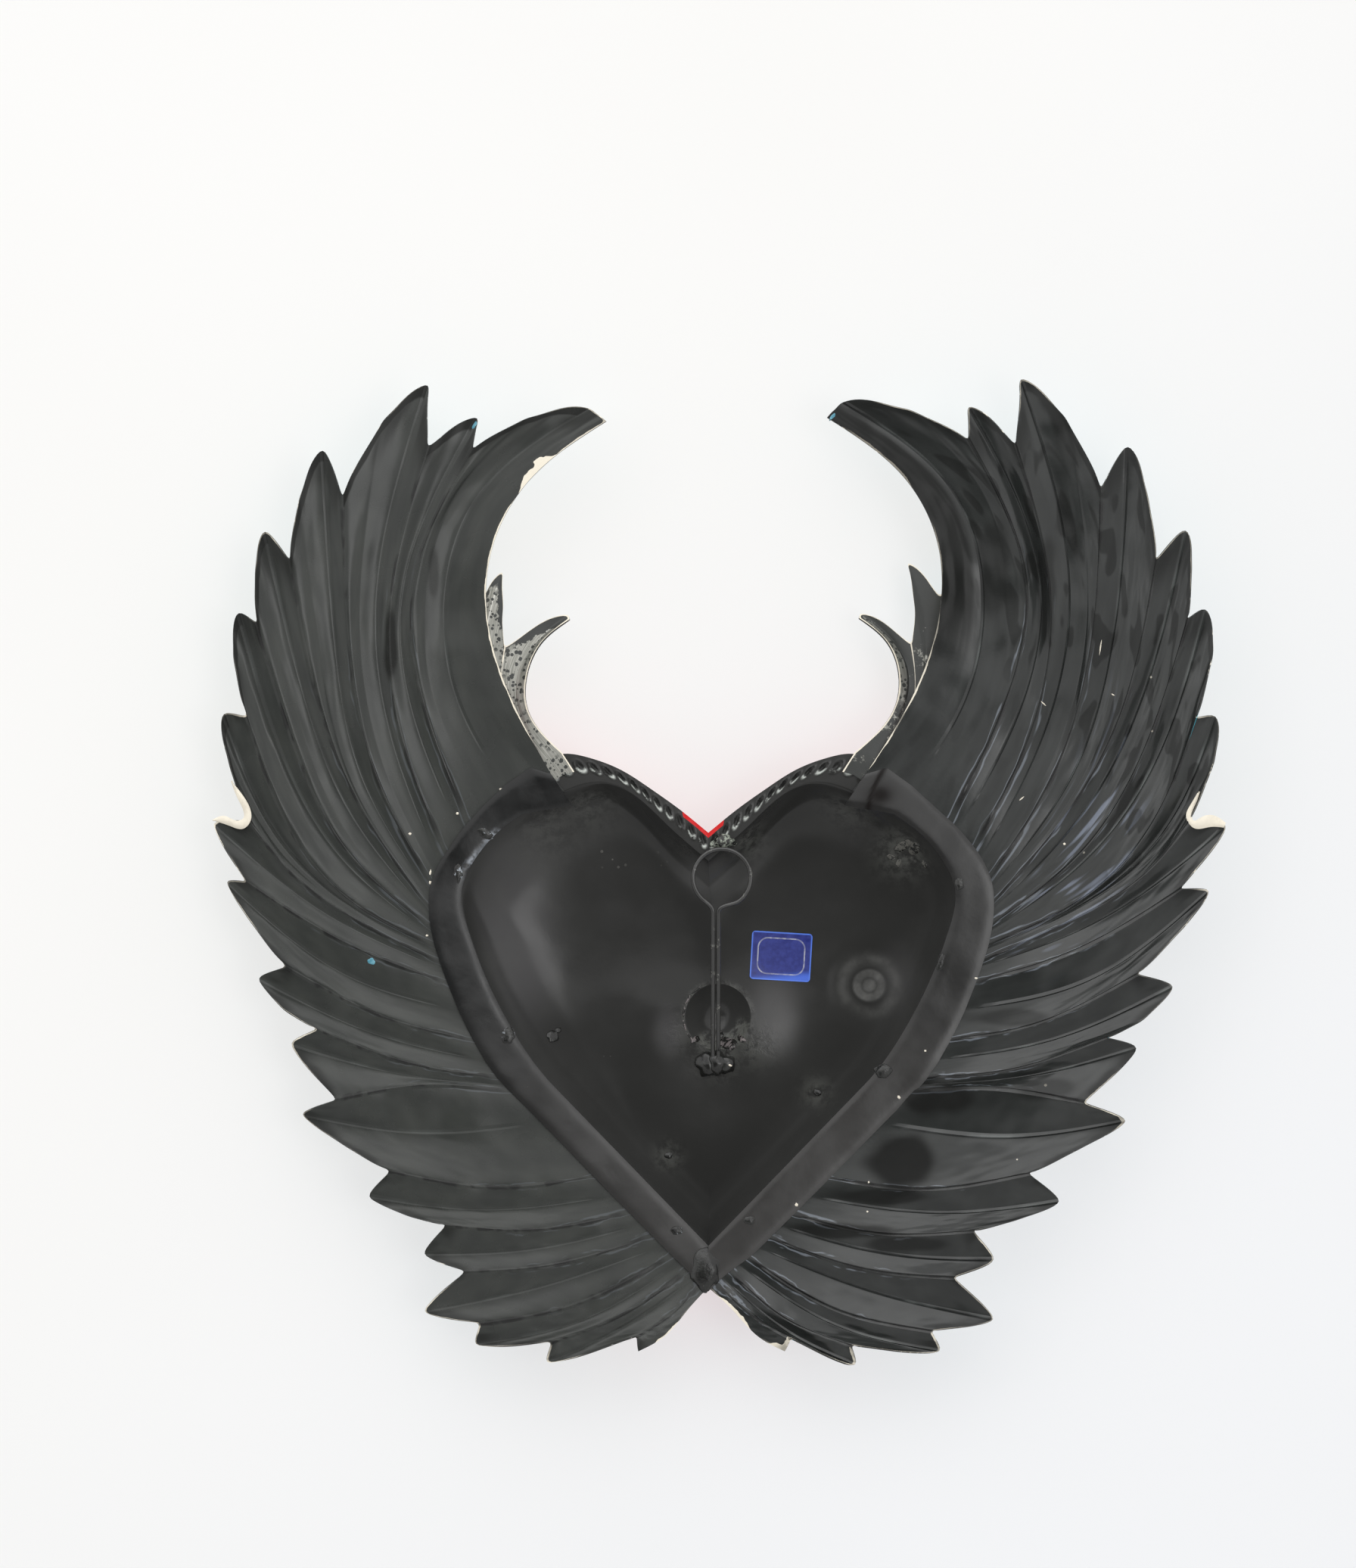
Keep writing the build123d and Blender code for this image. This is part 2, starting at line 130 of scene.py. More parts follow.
# Fold lines: fold side, root, way points, end on the +X wing and end on the -X wing, on the heart's grid.
WING_FOLDS = [
    (0.2, (46.4, 30.6), [(56.5, 49.3), (65.6, 82.4), (63, 99.5), (53.4, 116.5)], (30.1, 134.6), (35, 135.7)),
    (-0.4, (52.6, 32.5), [(65, 50), (72, 82), (67, 106)], (32.4, 136.4), (37, 137.8)),
    (-1, (60, 27.2), [(73, 50), (77.8, 82), (69, 111)], (35.1, 138.4), (39.5, 140.2)),
    (0, (65.5, 22.1), [(80, 50), (83.5, 82), (75, 112)], (53.2, 135.6), (59, 138.1)),
    (1, (70.8, 16.2), [(83.5, 50), (87.5, 82)], (69.7, 126.1), (76.8, 128.8)),
    (-1, (73, 13.4), [(86, 45), (90.5, 80)], (67.6, 135.9), (76.3, 139.3)),
    (1, (77.2, 7.2), [(90.5, 42), (94, 78)], (82.8, 126.8), (90.6, 127.4)),
    (-1, (79.2, 4), [(93, 40), (98, 77)], (82.2, 145.7), (91.7, 147.5)),
    (0, (80.6, 1), [(96.5, 35), (103, 72)], (95.6, 135.2), (105, 136)),
    (1, (81.6, -2), [(98.5, 32), (105, 62)], (107.8, 112), (115.6, 114.5)),
    (-1, (82, -4.5), [(103, 32), (109.5, 64)], (113.6, 126.6), (123.6, 127.7)),
    (0, (82.1, -7), [(105, 28), (113.5, 60)], (120.5, 112), (129.4, 113)),
    (1, (82.1, -9), [(103, 22), (113, 46)], (123.2, 93.3), (131.7, 93.5)),
    (-1, (82, -11), [(107, 22), (118, 50)], (130.8, 102.7), (140.8, 103.1)),
    (0, (81.8, -13), [(109, 17), (120, 43)], (133.5, 91), (142.4, 92)),
    (1, (81.5, -15), [(108, 10), (120, 34)], (132.8, 74.8), (140.8, 75.9)),
    (-1, (81.1, -17), [(109, 7), (124, 32)], (138.6, 78.6), (146.6, 79.7)),
    (0, (80.7, -18.8), [(110, 3), (125.4, 27.4)], (140, 66), (148.8, 67)),
    (1, (80.3, -20.4), [(110, -3), (125, 18)], (135.7, 47.5), (143.1, 47.1)),
    (-1, (79.8, -22), [(110, -5), (128, 14)], (143.1, 48.7), (149.7, 48)),
    (0, (79.3, -23.5), [(109.5, -6.8), (128, 10)], (141.2, 34), (149.2, 35)),
    (1, (78.8, -25), [(107, -10.4), (123.5, 2.2)], (135.1, 17), (141, 16.3)),
    (-1, (78.2, -26.8), [(112, -11)], (146.2, 16.3), (153.1, 15.6)),
    (1, (76.6, -31), [(105, -20)], (136.2, -1.1), (138.8, -3.3)),
    (-1, (73.4, -39), [(106, -29)], (142.2, -0.9), (148, -3.6)),
    (0, (71.3, -43.4), [(100.5, -35)], (135.5, -12), (140.5, -14)),
    (1, (69, -47.8), [(94, -41.5)], (124.1, -26.1), (125.9, -28.3)),
    (-1, (65.6, -53.8), [(98, -46)], (133, -29.5), (137.5, -31.9)),
    (0, (63.8, -56.3), [(93.5, -50)], (125.5, -38.5), (128.5, -41.5)),
    (1, (62, -58.8), [(88, -54.5)], (115, -44.4), (116.5, -46.9)),
    (-1, (60, -61), [(92, -57.5)], (123.4, -48.7), (126.8, -50)),
    (1, (58, -63), [(84, -61)], (109.4, -65.4), (110.5, -66.3)),
    (-1, (49, -72), [(86, -75)], (120.1, -69.6), (123.6, -71.6)),
    (0, (41.2, -80), [(76, -83)], (107, -79), (109, -80)),
    (1, (33.5, -88), [(64, -91.2)], (93.5, -86.2), (93.9, -86.8)),
    (-1, (28, -93.6), [(66, -97.8)], (100.5, -94), (104, -95.5)),
    (0, (25.5, -96.2), [(59, -100.6)], (89, -99.3), (91, -100.6)),
    (1, (23, -98.7), [(51, -103.6)], (77, -102), (77.7, -103.6)),
    (-1, (19.6, -102.1), [(53, -109.6)], (84.2, -110.9), (84.6, -112.7)),
    (1, (16.4, -105.4), [(46, -114)], (71.4, -115.8), (72.1, -117.6)),
    (-1, (13.4, -108.4), [(50, -120.7)], (84.2, -127.9), (84.6, -130.3)),
    (1, (10.8, -111.1), [(40, -126)], (67.2, -131.2), (65.4, -133.3)),
    (-1, (8.4, -113.5), [(38, -130.6)], (69, -137.7), (68.7, -139.7)),
    (1, (6.2, -115.8), [(26, -129.2)], (46, -136.6), (41.9, -137.5)),
    (-1, (4.2, -117.8), [(26, -132.8)], (48, -143.1), (43.7, -144)),
    (1, (2.4, -119.6), [(12, -129.6)], (21, -134.8), (24.4, -135.4)),
    (0, (0.6, -121.4), [(6, -127.3), (13, -135.2)], (20.6, -139.5), (22.5, -139.5)),
]
COVERT_FOLDS = [
    (0.2, (43.2, 37), [(53.4, 50), (53.6, 60), (49, 70)], (41, 76.4), (44.6, 76.8)),
    (-1, (46.8, 36), [(56.2, 52), (55.2, 63)], (41.4, 77.8), (45, 78.2)),
    (1, (50.8, 33.4), [(60.6, 50.5)], (60.4, 68), (60.2, 69)),
    (0, (52.6, 32.8), [(62.9, 57)], (60.6, 80), (61, 80.5)),
    (-1, (54.4, 32.2), [(64, 54), (65, 76)], (60.6, 90.8), (58.7, 93.4)),
    (1, (58.2, 29.2), [(68, 52)], (68, 80), (68.6, 83)),
    (-1, (62, 25.8), [(73, 52)], (76, 92), (76, 94)),
    (1, (65.8, 22.2), [(77, 44)], (82, 72), (82, 73)),
    (-1, (69.4, 18.2), [(82, 43)], (93, 80), (93, 81)),
    (1, (72.8, 14), [(86, 34)], (92, 58), (92, 58)),
    (-1, (76, 9.6), [(89, 31)], (103, 60), (103, 60)),
    (1, (78.6, 5), [(91, 20)], (99, 40), (99, 40)),
    (-1, (80.4, 1), [(93, 18)], (105, 38), (105, 38)),
    (1, (81.6, -3), [(93, 8)], (101, 22), (101, 22)),
    (0, (82, -7), [(93, 2)], (104, 12), (104, 12)),
]

# Places where pale paint of the face shows at a cut edge: X, Z, radius of the place and width of the line.
PALE_EDGES = [
    (54.5, 119.5, 8, 2.6), (40, 130, 12, 0.6), (66.5, 102, 12, 0.5), (70, 84, 14, 0.5), (67, 64, 14, 0.6),
    (60, 50, 12, 0.5), (-50, 122, 10, 0.5), (-63, 70, 9, 0.5), (-58, 56, 10, 0.6), (-48, 38, 8, 0.5),
    (149, 13, 5, 0.7), (-119, -73, 4, 1.3), (-1.5, -130, 8, 1.7), (-21, -138.5, 8, 1.9), (-34, -142, 11, 1.0),
    (-46, -139, 9, 0.5), (16, -134, 5, 0.9), (52, -141, 6, 0.5), (-137, 90, 6, 0.4), (128, 112, 6, 0.4),
]
# Painted dark reflections on the wings: X, Z, half width, half height and strength.
PAINTED_DARK_SPOTS = [
    (-53, -83.5, 13, 9, 0.85), (-62, -65, 14, 5.5, 0.75), (-46, -94, 21, 2.8, 0.7), (-36, -104, 18, 2.8, 0.7),
    (-54, -108, 14, 2.8, 0.6), (-96, -62, 12, 4, 0.5), (-84, -41, 15, 3, 0.5), (-80, 92, 6, 16, 0.5),
    (-96, 84, 3, 18, 0.5), (97.6, 69, 2.2, 13, 0.7), (85, 90, 2, 9, 0.5),
]
# Stud mark in the floor of the heart: its place, and the radii of its ring, core, halo of painted sheen and
# hollow.
ROSETTE = (-43.7, -31.9)
ROSETTE_RADIUS = 5.3
ROSETTE_CORE = 2.2
ROSETTE_HALO = 8.0
ROSETTE_HOLLOW = 9.5
# Shallow handmade bulges of the floor: X, Z, reach and height towards the back.
DENTS = [(-9, -46, 12, 1.4), (14, -38, 9, 0.7), (6, -72, 16, 0.5), (-30, 2, 14, 0.4)]
# Greyer patches of flux and dry spray in the heart: X, Z, reach and strength.
HAZE = [
    (-54, 8, 7, 0.9), (-58, 14, 5, 0.6), (1, -52, 6, 0.9), (12, -46, 5, 0.5), (-9, -49, 6, 0.6),
    (52, 16, 9, 0.4), (-28, -63.5, 4, 0.6), (15.8, -82.5, 4, 0.5), (-6, 12, 6, 0.7), (7, 13, 6, 0.6),
    (40, 22, 8, 0.4), (-40, 24, 8, 0.5),
]
# Painted reflections on the floor, and a lighter patch over the shade at the notch: X, Z, half width, half
# height and strength.
PAINTED_SHEEN = [(-15.5, -40.5, 7, 11, 0.8), (15.8, -45.5, 4.5, 7.5, 0.7), (60, -14, 13, 30, 0.62),
        (-52, -31, 6, 10, 0.4), (4, 1.5, 8, 6.5, 0.7)]
# Lengths of red enamel along the rim on the +X and -X side of the notch.
RED_RUNS = (10.0, 6.0)
# Painted glints along the inner edge of the right strip, Z and half height. Painted shade of a hollow, and
# the top of a painted fold line on the left strip, X and Z.
PAINTED_GLINTS = [(5, 3.5), (12.5, 2)]
PAINTED_HOLLOW_SHADE = (-46.6, 24.5)
PAINTED_FOLD_TOP = (-46.2, 30)
# Curled lips beside the lowest feather of the upper fans: X, Y and Z along the dark and the open side.
CURLED_LIPS = {
    "right": ([(144.3, 3.2, 28.4), (141.2, 3.8, 24.4), (138.7, 4.2, 19.3), (138.9, 4.3, 16.7),
               (141, 4.1, 14.5), (144.7, 3.2, 15.2), (150.1, 1.8, 16.9)],
              [(144.7, 3.0, 28.6), (142.9, 3.5, 23.8), (140.9, 3.9, 19.4), (140.9, 3.9, 17.8),
               (142.3, 3.6, 16.9), (146.6, 2.6, 18.3), (150.2, 1.7, 17.1)]),
    "left": ([(-140, 3.6, 25), (-137.9, 4.0, 21.4), (-136.7, 4.2, 18.4), (-137.7, 4.3, 15.8),
              (-139, 4.2, 14.7), (-143.8, 3.2, 15), (-147.9, 2.0, 14.8)],
             [(-140.9, 3.5, 25.4), (-139.2, 3.7, 20.9), (-138.4, 3.9, 18.2), (-138.9, 3.8, 17),
              (-141.2, 3.4, 17.9), (-145.6, 2.6, 18.2), (-148.6, 1.8, 16.2)]),
}


# Curves
def spline(points, start=None, end=None):
    """Cubic curve through points, as a function of the share of its length; free ends unless told."""
    p = np.array(points, float)
    knots = np.concatenate([[0], np.cumsum(np.linalg.norm(np.diff(p, axis=0), axis=1))])
    h = np.diff(knots)[:, None]
    slope = np.diff(p, axis=0) / h
    count = len(p)
    system = np.eye(count)
    right = np.zeros_like(p)
    for k in range(1, count - 1):
        system[k, k - 1:k + 2] = h[k - 1, 0], 2 * (h[k - 1, 0] + h[k, 0]), h[k, 0]
        right[k] = 6 * (slope[k] - slope[k - 1])
    if start is not None:
        system[0, :2] = 2 * h[0, 0], h[0, 0]
        right[0] = 6 * (slope[0] - np.array(start))
    if end is not None:
        system[-1, -2:] = h[-1, 0], 2 * h[-1, 0]
        right[-1] = 6 * (np.array(end) - slope[-1])
    bend = np.linalg.solve(system, right)

    def at(shares):
        t = np.clip(np.asarray(shares) * knots[-1], 0, knots[-1])
        k = np.clip(np.searchsorted(knots, t, side="right") - 1, 0, count - 2)
        a = ((knots[k + 1] - t)[:, None]) / h[k]
        b = 1 - a
        return a * p[k] + b * p[k + 1] + ((a ** 3 - a) * bend[k] + (b ** 3 - b) * bend[k + 1]) * h[k] ** 2 / 6
    return at


def evenly(line, count):
    """The same polyline with evenly spaced points."""
    run = np.concatenate([[0], np.cumsum(np.linalg.norm(np.diff(line, axis=0), axis=1))])
    at = np.linspace(0, run[-1], count)
    return np.stack([np.interp(at, run, line[:, k]) for k in range(line.shape[1])], axis=1)


def half_heart(points, tip, count):
    """Half outline from the notch to the tip, evenly spaced."""
    p = np.array(points, float)
    leave = np.array(tip) - p[-1]
    start = p[1] - p[0]
    curve = spline(p, start / np.linalg.norm(start), leave / np.linalg.norm(leave))(np.linspace(0, 1, 600))
    side = np.linspace(p[-1], tip, 200)[1:]
    return evenly(np.vstack([curve, side]), count)


def ease(x, low, high):
    """Soft step from 0 at low to 1 at high."""
    t = np.clip((x - low) / (high - low), 0, 1)
    return t * t * (3 - 2 * t)


def bell(x, width):
    """Soft bump that is 1 at 0 and fades out over a width."""
    return np.exp(-(x / width) ** 2)


def wobble(points, size, amount, seed):
    """Smooth handmade unevenness for an array of points."""
    flat = points.reshape(-1, 3) / size
    shift = Vector((seed * 17.3, seed * 5.1, seed * 9.7))
    values = [noise.noise(Vector(p) + shift) for p in flat]
    return amount * np.array(values).reshape(points.shape[:-1])


# Meshes
def make_piece(name, verts, faces, replaced, materials, layers=None, smooth_angle=50):
    """Mesh object in the object's frame from points in millimetres, riding on the one body."""
    mesh = bpy.data.meshes.new(name)
    mesh.from_pydata([tuple(v) for v in np.asarray(verts) * MM], [], faces)
    for key, values in (layers or {}).items():
        layer = mesh.attributes.new(key, "FLOAT", "POINT")
        layer.data.foreach_set("value", np.asarray(values, float).ravel())
    for material in materials:
        mesh.materials.append(material)
    mesh.polygons.foreach_set("use_smooth", [True] * len(mesh.polygons))
    mesh.set_sharp_from_angle(angle=math.radians(smooth_angle))
    piece = bpy.data.objects.new(name, mesh)
    bpy.context.collection.objects.link(piece)
    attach(piece, "root")
    if replaced:
        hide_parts(*replaced)
    return piece


def grid_faces(rows, cols, closed=False):
    """Four-sided faces between the rows and columns of a grid."""
    faces = []
    for r in range(rows - 1):
        for c in range(cols if closed else cols - 1):
            d = (c + 1) % cols
            faces.append((r * cols + c, r * cols + d, (r + 1) * cols + d, (r + 1) * cols + c))
    return faces


def thicken(piece, thickness, turned):
    """Gives a sheet its thickness towards the front; back, front and edge keep separate materials."""
    solid = piece.modifiers.new("sheet", "SOLIDIFY")
    solid.thickness = thickness * MM
    solid.offset = 1 if turned else -1
    solid.use_flip_normals = turned
    solid.material_offset = 1
    solid.material_offset_rim = 2
    with bpy.context.temp_override(object=piece, active_object=piece, selected_objects=[piece]):
        bpy.ops.object.modifier_apply(modifier=solid.name)
    piece.data.set_sharp_from_angle(angle=math.radians(50))


def sheet_piece(name, grid, replaced, materials, layers=None, thickness=SHEET, closed=False, cap=False):
    """Sheet over a grid of points on its back; closed joins its sides, and cap fills its last row."""
    rows, cols = grid.shape[:2]
    faces = grid_faces(rows, cols, closed)
    if cap:
        faces.append(tuple(range((rows - 1) * cols, rows * cols)))
    piece = make_piece(name, grid.reshape(-1, 3), faces, replaced, materials, layers)
    thicken(piece, thickness, piece.data.polygons[len(faces) // 2].normal.y < 0)
    return piece


def ground_of(piece):
    """Function that tells how far towards the back a piece reaches at a place."""
    mesh = piece.data
    tree = BVHTree.FromPolygons([v.co for v in mesh.vertices], [p.vertices for p in mesh.polygons])

    def height(x, z):
        hit = tree.ray_cast(Vector((x, 50, z)) * MM, Vector((0, -1, 0)))[0]
        return hit.y / MM if hit else -0.4
    return height


def fold_lines(folds, side, sweep, pleat, shares):
    """Points along each fold of a wing, from its root to its end."""
    reaches = [math.dist(fold[3] if side > 0 else fold[4], fold[1]) for fold in folds]
    lines = []
    for k, (bend, root, ways, right_end, left_end) in enumerate(folds):
        end = right_end if side > 0 else left_end
        stops = [(root[0], 0, root[1])]
        for step, way in enumerate(ways, 1):
            share = step / (len(ways) + 1)
            drift = share * (2 - share)
            stops.append((way[0] + (end[0] - right_end[0]) * drift,
                          sweep * share + bend * pleat / 2 * min(1, 1.5 * share),
                          way[1] + (end[1] - right_end[1]) * drift))
        stops.append((end[0], sweep + bend * pleat / 2, end[1]))
        hurry = max(reaches[max(0, k - 1):k + 2]) / reaches[k]
        lines.append(spline(stops)(1 - (1 - shares) ** hurry))
    return lines


def sheet_columns(folds, lines, column):
    """Columns of points from fold to fold, the swell of their ends, and the place and kind of each."""
    columns, swell, marks = [], [], []
    outside = 0.0
    for k, (a, b) in enumerate(zip(lines, lines[1:])):
        bend, root_z = folds[k][0], folds[k][1][1]
        chord = b[-1] - a[-1]
        out = np.array([chord[2], 0, -chord[0]])
        out *= math.copysign(1, out @ (a[-1] - a[0])) / max(np.linalg.norm(chord), 1e-6)
        fullness = FULL_TIP if bend == -1 and root_z > -26 else LEAN_TIP
        if abs(bend) == 1:
            outside = float(bend == -1 and root_z > -24)
        steps = max(2, round(np.linalg.norm(a - b, axis=1).max() / column))
        for j in range(steps):
            t = j / steps
            columns.append((1 - t) * a + t * b)
            from_tip = t if bend == -1 else 1 - t
            swell.append(out * fullness * np.linalg.norm(chord) * 6.75 * from_tip * (1 - from_tip) ** 2)
            marks.append((k + t, j == 0 and bend == 1, j == 0 and bend == -1, outside))
    columns.append(lines[-1])
    swell.append(np.zeros(3))
    marks.append((len(lines) - 1, 0, 0, 0))
    return np.stack(columns, axis=1), np.array(swell), np.array(marks, float).T


def paint_layers(grid, flat, along, marks, seed):
    """What the paint of a wing follows: places on the feathers, distances to edges and folds, spots of
    painted dark reflection.
    """
    whole = np.ones(grid.shape[:2])
    across, groove, ridge, outer = (whole * mark for mark in marks)
    reach = np.linalg.norm(np.diff(grid, axis=0), axis=2)
    to_end = np.concatenate([np.cumsum(reach[::-1], axis=0)[::-1], np.zeros((1, grid.shape[1]))])
    from_inner = np.cumsum(np.linalg.norm(np.diff(grid, axis=1), axis=2), axis=1)
    from_inner = np.concatenate([np.zeros((len(grid), 1)), from_inner], axis=1)
    edge = np.minimum(to_end, np.minimum(from_inner, from_inner[:, -1:] - from_inner))
    notches = from_inner[:, groove[0] > 0.5]
    valley = np.abs(from_inner[:, :, None] - notches[:, None, :]).min(axis=2)
    lip, shade = 0 * whole, 0 * whole
    for x, z, radius, width in PALE_EDGES:
        away = np.hypot(grid[..., 0] - x, grid[..., 2] - z) / radius
        lip = np.maximum(lip, width * ease(away, 1.0, 0.55))
    uneven = wobble(flat, 8, 0.3, seed + 5)
    for x, z, wide, high, share in PAINTED_DARK_SPOTS:
        away = np.hypot((grid[..., 0] - x) / wide, (grid[..., 2] - z) / high) + uneven
        shade = np.maximum(shade, share * ease(away, 1.1, 0.55))
    return {"valley": valley, "along": along, "across": across, "edge": edge, "lip": lip, "shade": shade,
            "groove": groove, "ridge": ridge, "outer": outer}


def wing_piece(name, folds, side, root_y, sweep, pleat, materials, rows, column, softness, seed):
    """One folded wing with its root margin; softness is how often the folds are smoothed."""
    shares = np.linspace(0, 1, rows)
    grid, swell, marks = sheet_columns(folds, fold_lines(folds, side, sweep, pleat, shares), column)
    tips = grid[-1] + swell
    for _ in range(2):
        tips[1:-1] = 0.25 * tips[:-2] + 0.5 * tips[1:-1] + 0.25 * tips[2:]
    grid += (tips - grid[-1])[None] * (shares ** 5)[:, None, None]
    for _ in range(softness):
        grid[:, 1:-1, 1] = 0.25 * grid[:, :-2, 1] + 0.5 * grid[:, 1:-1, 1] + 0.25 * grid[:, 2:, 1]
    middle = np.array([DOME_CENTRE[0], 0, DOME_CENTRE[1]])
    margin = [grid[0] + (middle - grid[0]) * share for share in ROOT_MARGIN]
    grid = np.concatenate([np.stack(margin), grid])
    along = np.concatenate([[0] * len(margin), shares])[:, None] * np.ones(grid.shape[1])
    flat = grid * np.array([1, 0, 1])
    rise = ease(along, 0.05, 0.3)
    grid[..., 1] += wobble(flat, 16, 0.45, seed) * rise + wobble(flat, 6, 0.12, seed + 3) * rise
    grid = grid * np.array([side, 1, 1]) + np.array([HEART_AXIS, root_y + SHEET, 0])
    layers = paint_layers(grid, flat, along, marks, seed)
    return sheet_piece(f"{name}_skin", grid, [name], materials, layers)


# Nodes of a material
class Graph:
    """Small helper that writes the nodes of a material or of the world in reading order.

    A text in the place of a number names a paint layer of the mesh.
    """

    def __init__(self, name, owner=None):
        self.owner = bpy.data.materials.new(name) if owner is None else owner
        self.owner.use_nodes = True
        self.tree = self.owner.node_tree
        self.coordinates = self.add("ShaderNodeTexCoord").outputs

    def add(self, kind, sockets=None, **settings):
        """New node with its settings and what goes into its sockets."""
        node = self.tree.nodes.new(kind)
        for key, value in settings.items():
            setattr(node, key, value)
        for key, value in (sockets or {}).items():
            self.put(node.inputs[key], value)
        return node

    def put(self, socket, value):
        """Fills a socket with a number, a colour, another node's output or a paint layer."""
        if isinstance(value, str):
            value = self.add("ShaderNodeAttribute", attribute_name=value).outputs["Fac"]
        if isinstance(value, bpy.types.NodeSocket):
            self.tree.links.new(value, socket)
        else:
            socket.default_value = value

    def math(self, operation, a, b=0.0, c=0.0):
        return self.add("ShaderNodeMath", {0: a, 1: b, 2: c}, operation=operation).outputs[0]

    def times(self, *values):
        return reduce(lambda a, b: self.math("MULTIPLY", a, b), values)

    def most(self, *values):
        return reduce(lambda a, b: self.math("MAXIMUM", a, b), values)

    def plus(self, a, b):
        return self.math("ADD", a, b)

    def below(self, value, limit):
        return self.math("LESS_THAN", value, limit)

    def above(self, value, limit):
        return self.math("GREATER_THAN", value, limit)

    def spot(self):
        """X and Z of the place on the object, in metres."""
        outputs = self.add("ShaderNodeSeparateXYZ", {0: self.coordinates["Object"]}).outputs
        return outputs["X"], outputs["Z"]

    def noise(self, scale, detail, roughness=0.55, vector=None):
        vector = self.coordinates["Object"] if vector is None else vector
        sockets = {"Vector": vector, "Scale": scale, "Detail": detail, "Roughness": roughness}
        return self.add("ShaderNodeTexNoise", sockets).outputs["Fac"]

    def streaks(self, across, along, detail, roughness=0.55):
        """Noise in coordinates that follow a wing: across from fold to fold, and along each fold."""
        joined = self.add("ShaderNodeCombineXYZ", {"X": "across", "Y": "along"}).outputs[0]
        scaled = self.add("ShaderNodeMapping", {"Vector": joined, "Scale": (across, along, 1.0)}).outputs[0]
        return self.noise(1.0, detail, roughness, scaled)

    def dots(self, scale, width):
        """1 inside small scattered dots of uneven size, 0 elsewhere."""
        cell = self.add("ShaderNodeTexVoronoi", {"Vector": self.coordinates["Object"], "Scale": scale})
        chance = self.add("ShaderNodeSeparateColor", {"Color": cell.outputs["Color"]}).outputs[0]
        return self.below(cell.outputs["Distance"], self.times(chance, width))

    def ramp(self, value, low, high, start=0.0, end=1.0):
        sockets = {"Value": value, "From Min": low, "From Max": high, "To Min": start, "To Max": end}
        return self.add("ShaderNodeMapRange", sockets, interpolation_type="SMOOTHSTEP").outputs["Result"]

    def patches(self, scale, detail, low, high, start=0.0, end=1.0):
        """Noise with soft limits: start below low, end above high."""
        return self.ramp(self.noise(scale, detail), low, high, start, end)

    def mix(self, share, a, b):
        return self.add("ShaderNodeMix", {0: share, 6: a, 7: b}, data_type="RGBA").outputs[2]

    def bump(self, height, strength, distance, normal=None):
        sockets = {"Height": height, "Strength": strength, "Distance": distance}
        if normal is not None:
            sockets["Normal"] = normal
        return self.add("ShaderNodeBump", sockets).outputs["Normal"]

    def done(self, **sockets):
        for key, value in sockets.items():
            self.put(self.tree.nodes["Principled BSDF"].inputs[key.replace("_", " ")], value)
        return self.owner


def rgb(r, g, b):
    """Colour as seen on a screen, 0 to 255, in linear light."""
    return tuple(((v / 255 + 0.055) / 1.055) ** 2.4 if v > 10 else v / 3295 for v in (r, g, b)) + (1.0,)


SOOT = rgb(47, 49, 47)
CREAM = rgb(240, 232, 214)
TIN = rgb(150, 148, 143)
TURQUOISE = rgb(64, 176, 196)
PINK = rgb(226, 120, 142)
RED = rgb(205, 30, 32)


# Materials
def wing_base(g, glossy):
    """Black spray in streaks along the folds, with dust specks and pale paint on cut edges."""
    tone = g.plus(g.times(g.streaks(1.4, 6.0, 2.0, 0.5), 0.6), g.times(g.noise(38.0, 4.0), 0.4))
    low, high = (rgb(36, 38, 37), rgb(49, 51, 50)) if glossy else (rgb(49, 51, 49), rgb(59, 61, 58))
    colour = g.mix(g.ramp(tone, 0.35, 0.68), low, high)
    specks = g.times(g.dots(95.0, 0.045), g.patches(21.0, 2.0, 0.55, 0.7))
    colour = g.mix(specks, colour, CREAM)
    ragged = g.plus("edge", g.times(g.noise(240.0, 3.0), -1.1))
    rubbed = g.times(g.below(ragged, -0.12), g.patches(26.0, 2.0, 0.48, 0.6))
    lip = g.below("edge", g.times("lip", g.patches(150.0, 3.0, 0.25, 0.7, 0.35, 1.3)))
    return g.mix(g.most(rubbed, lip), colour, CREAM)


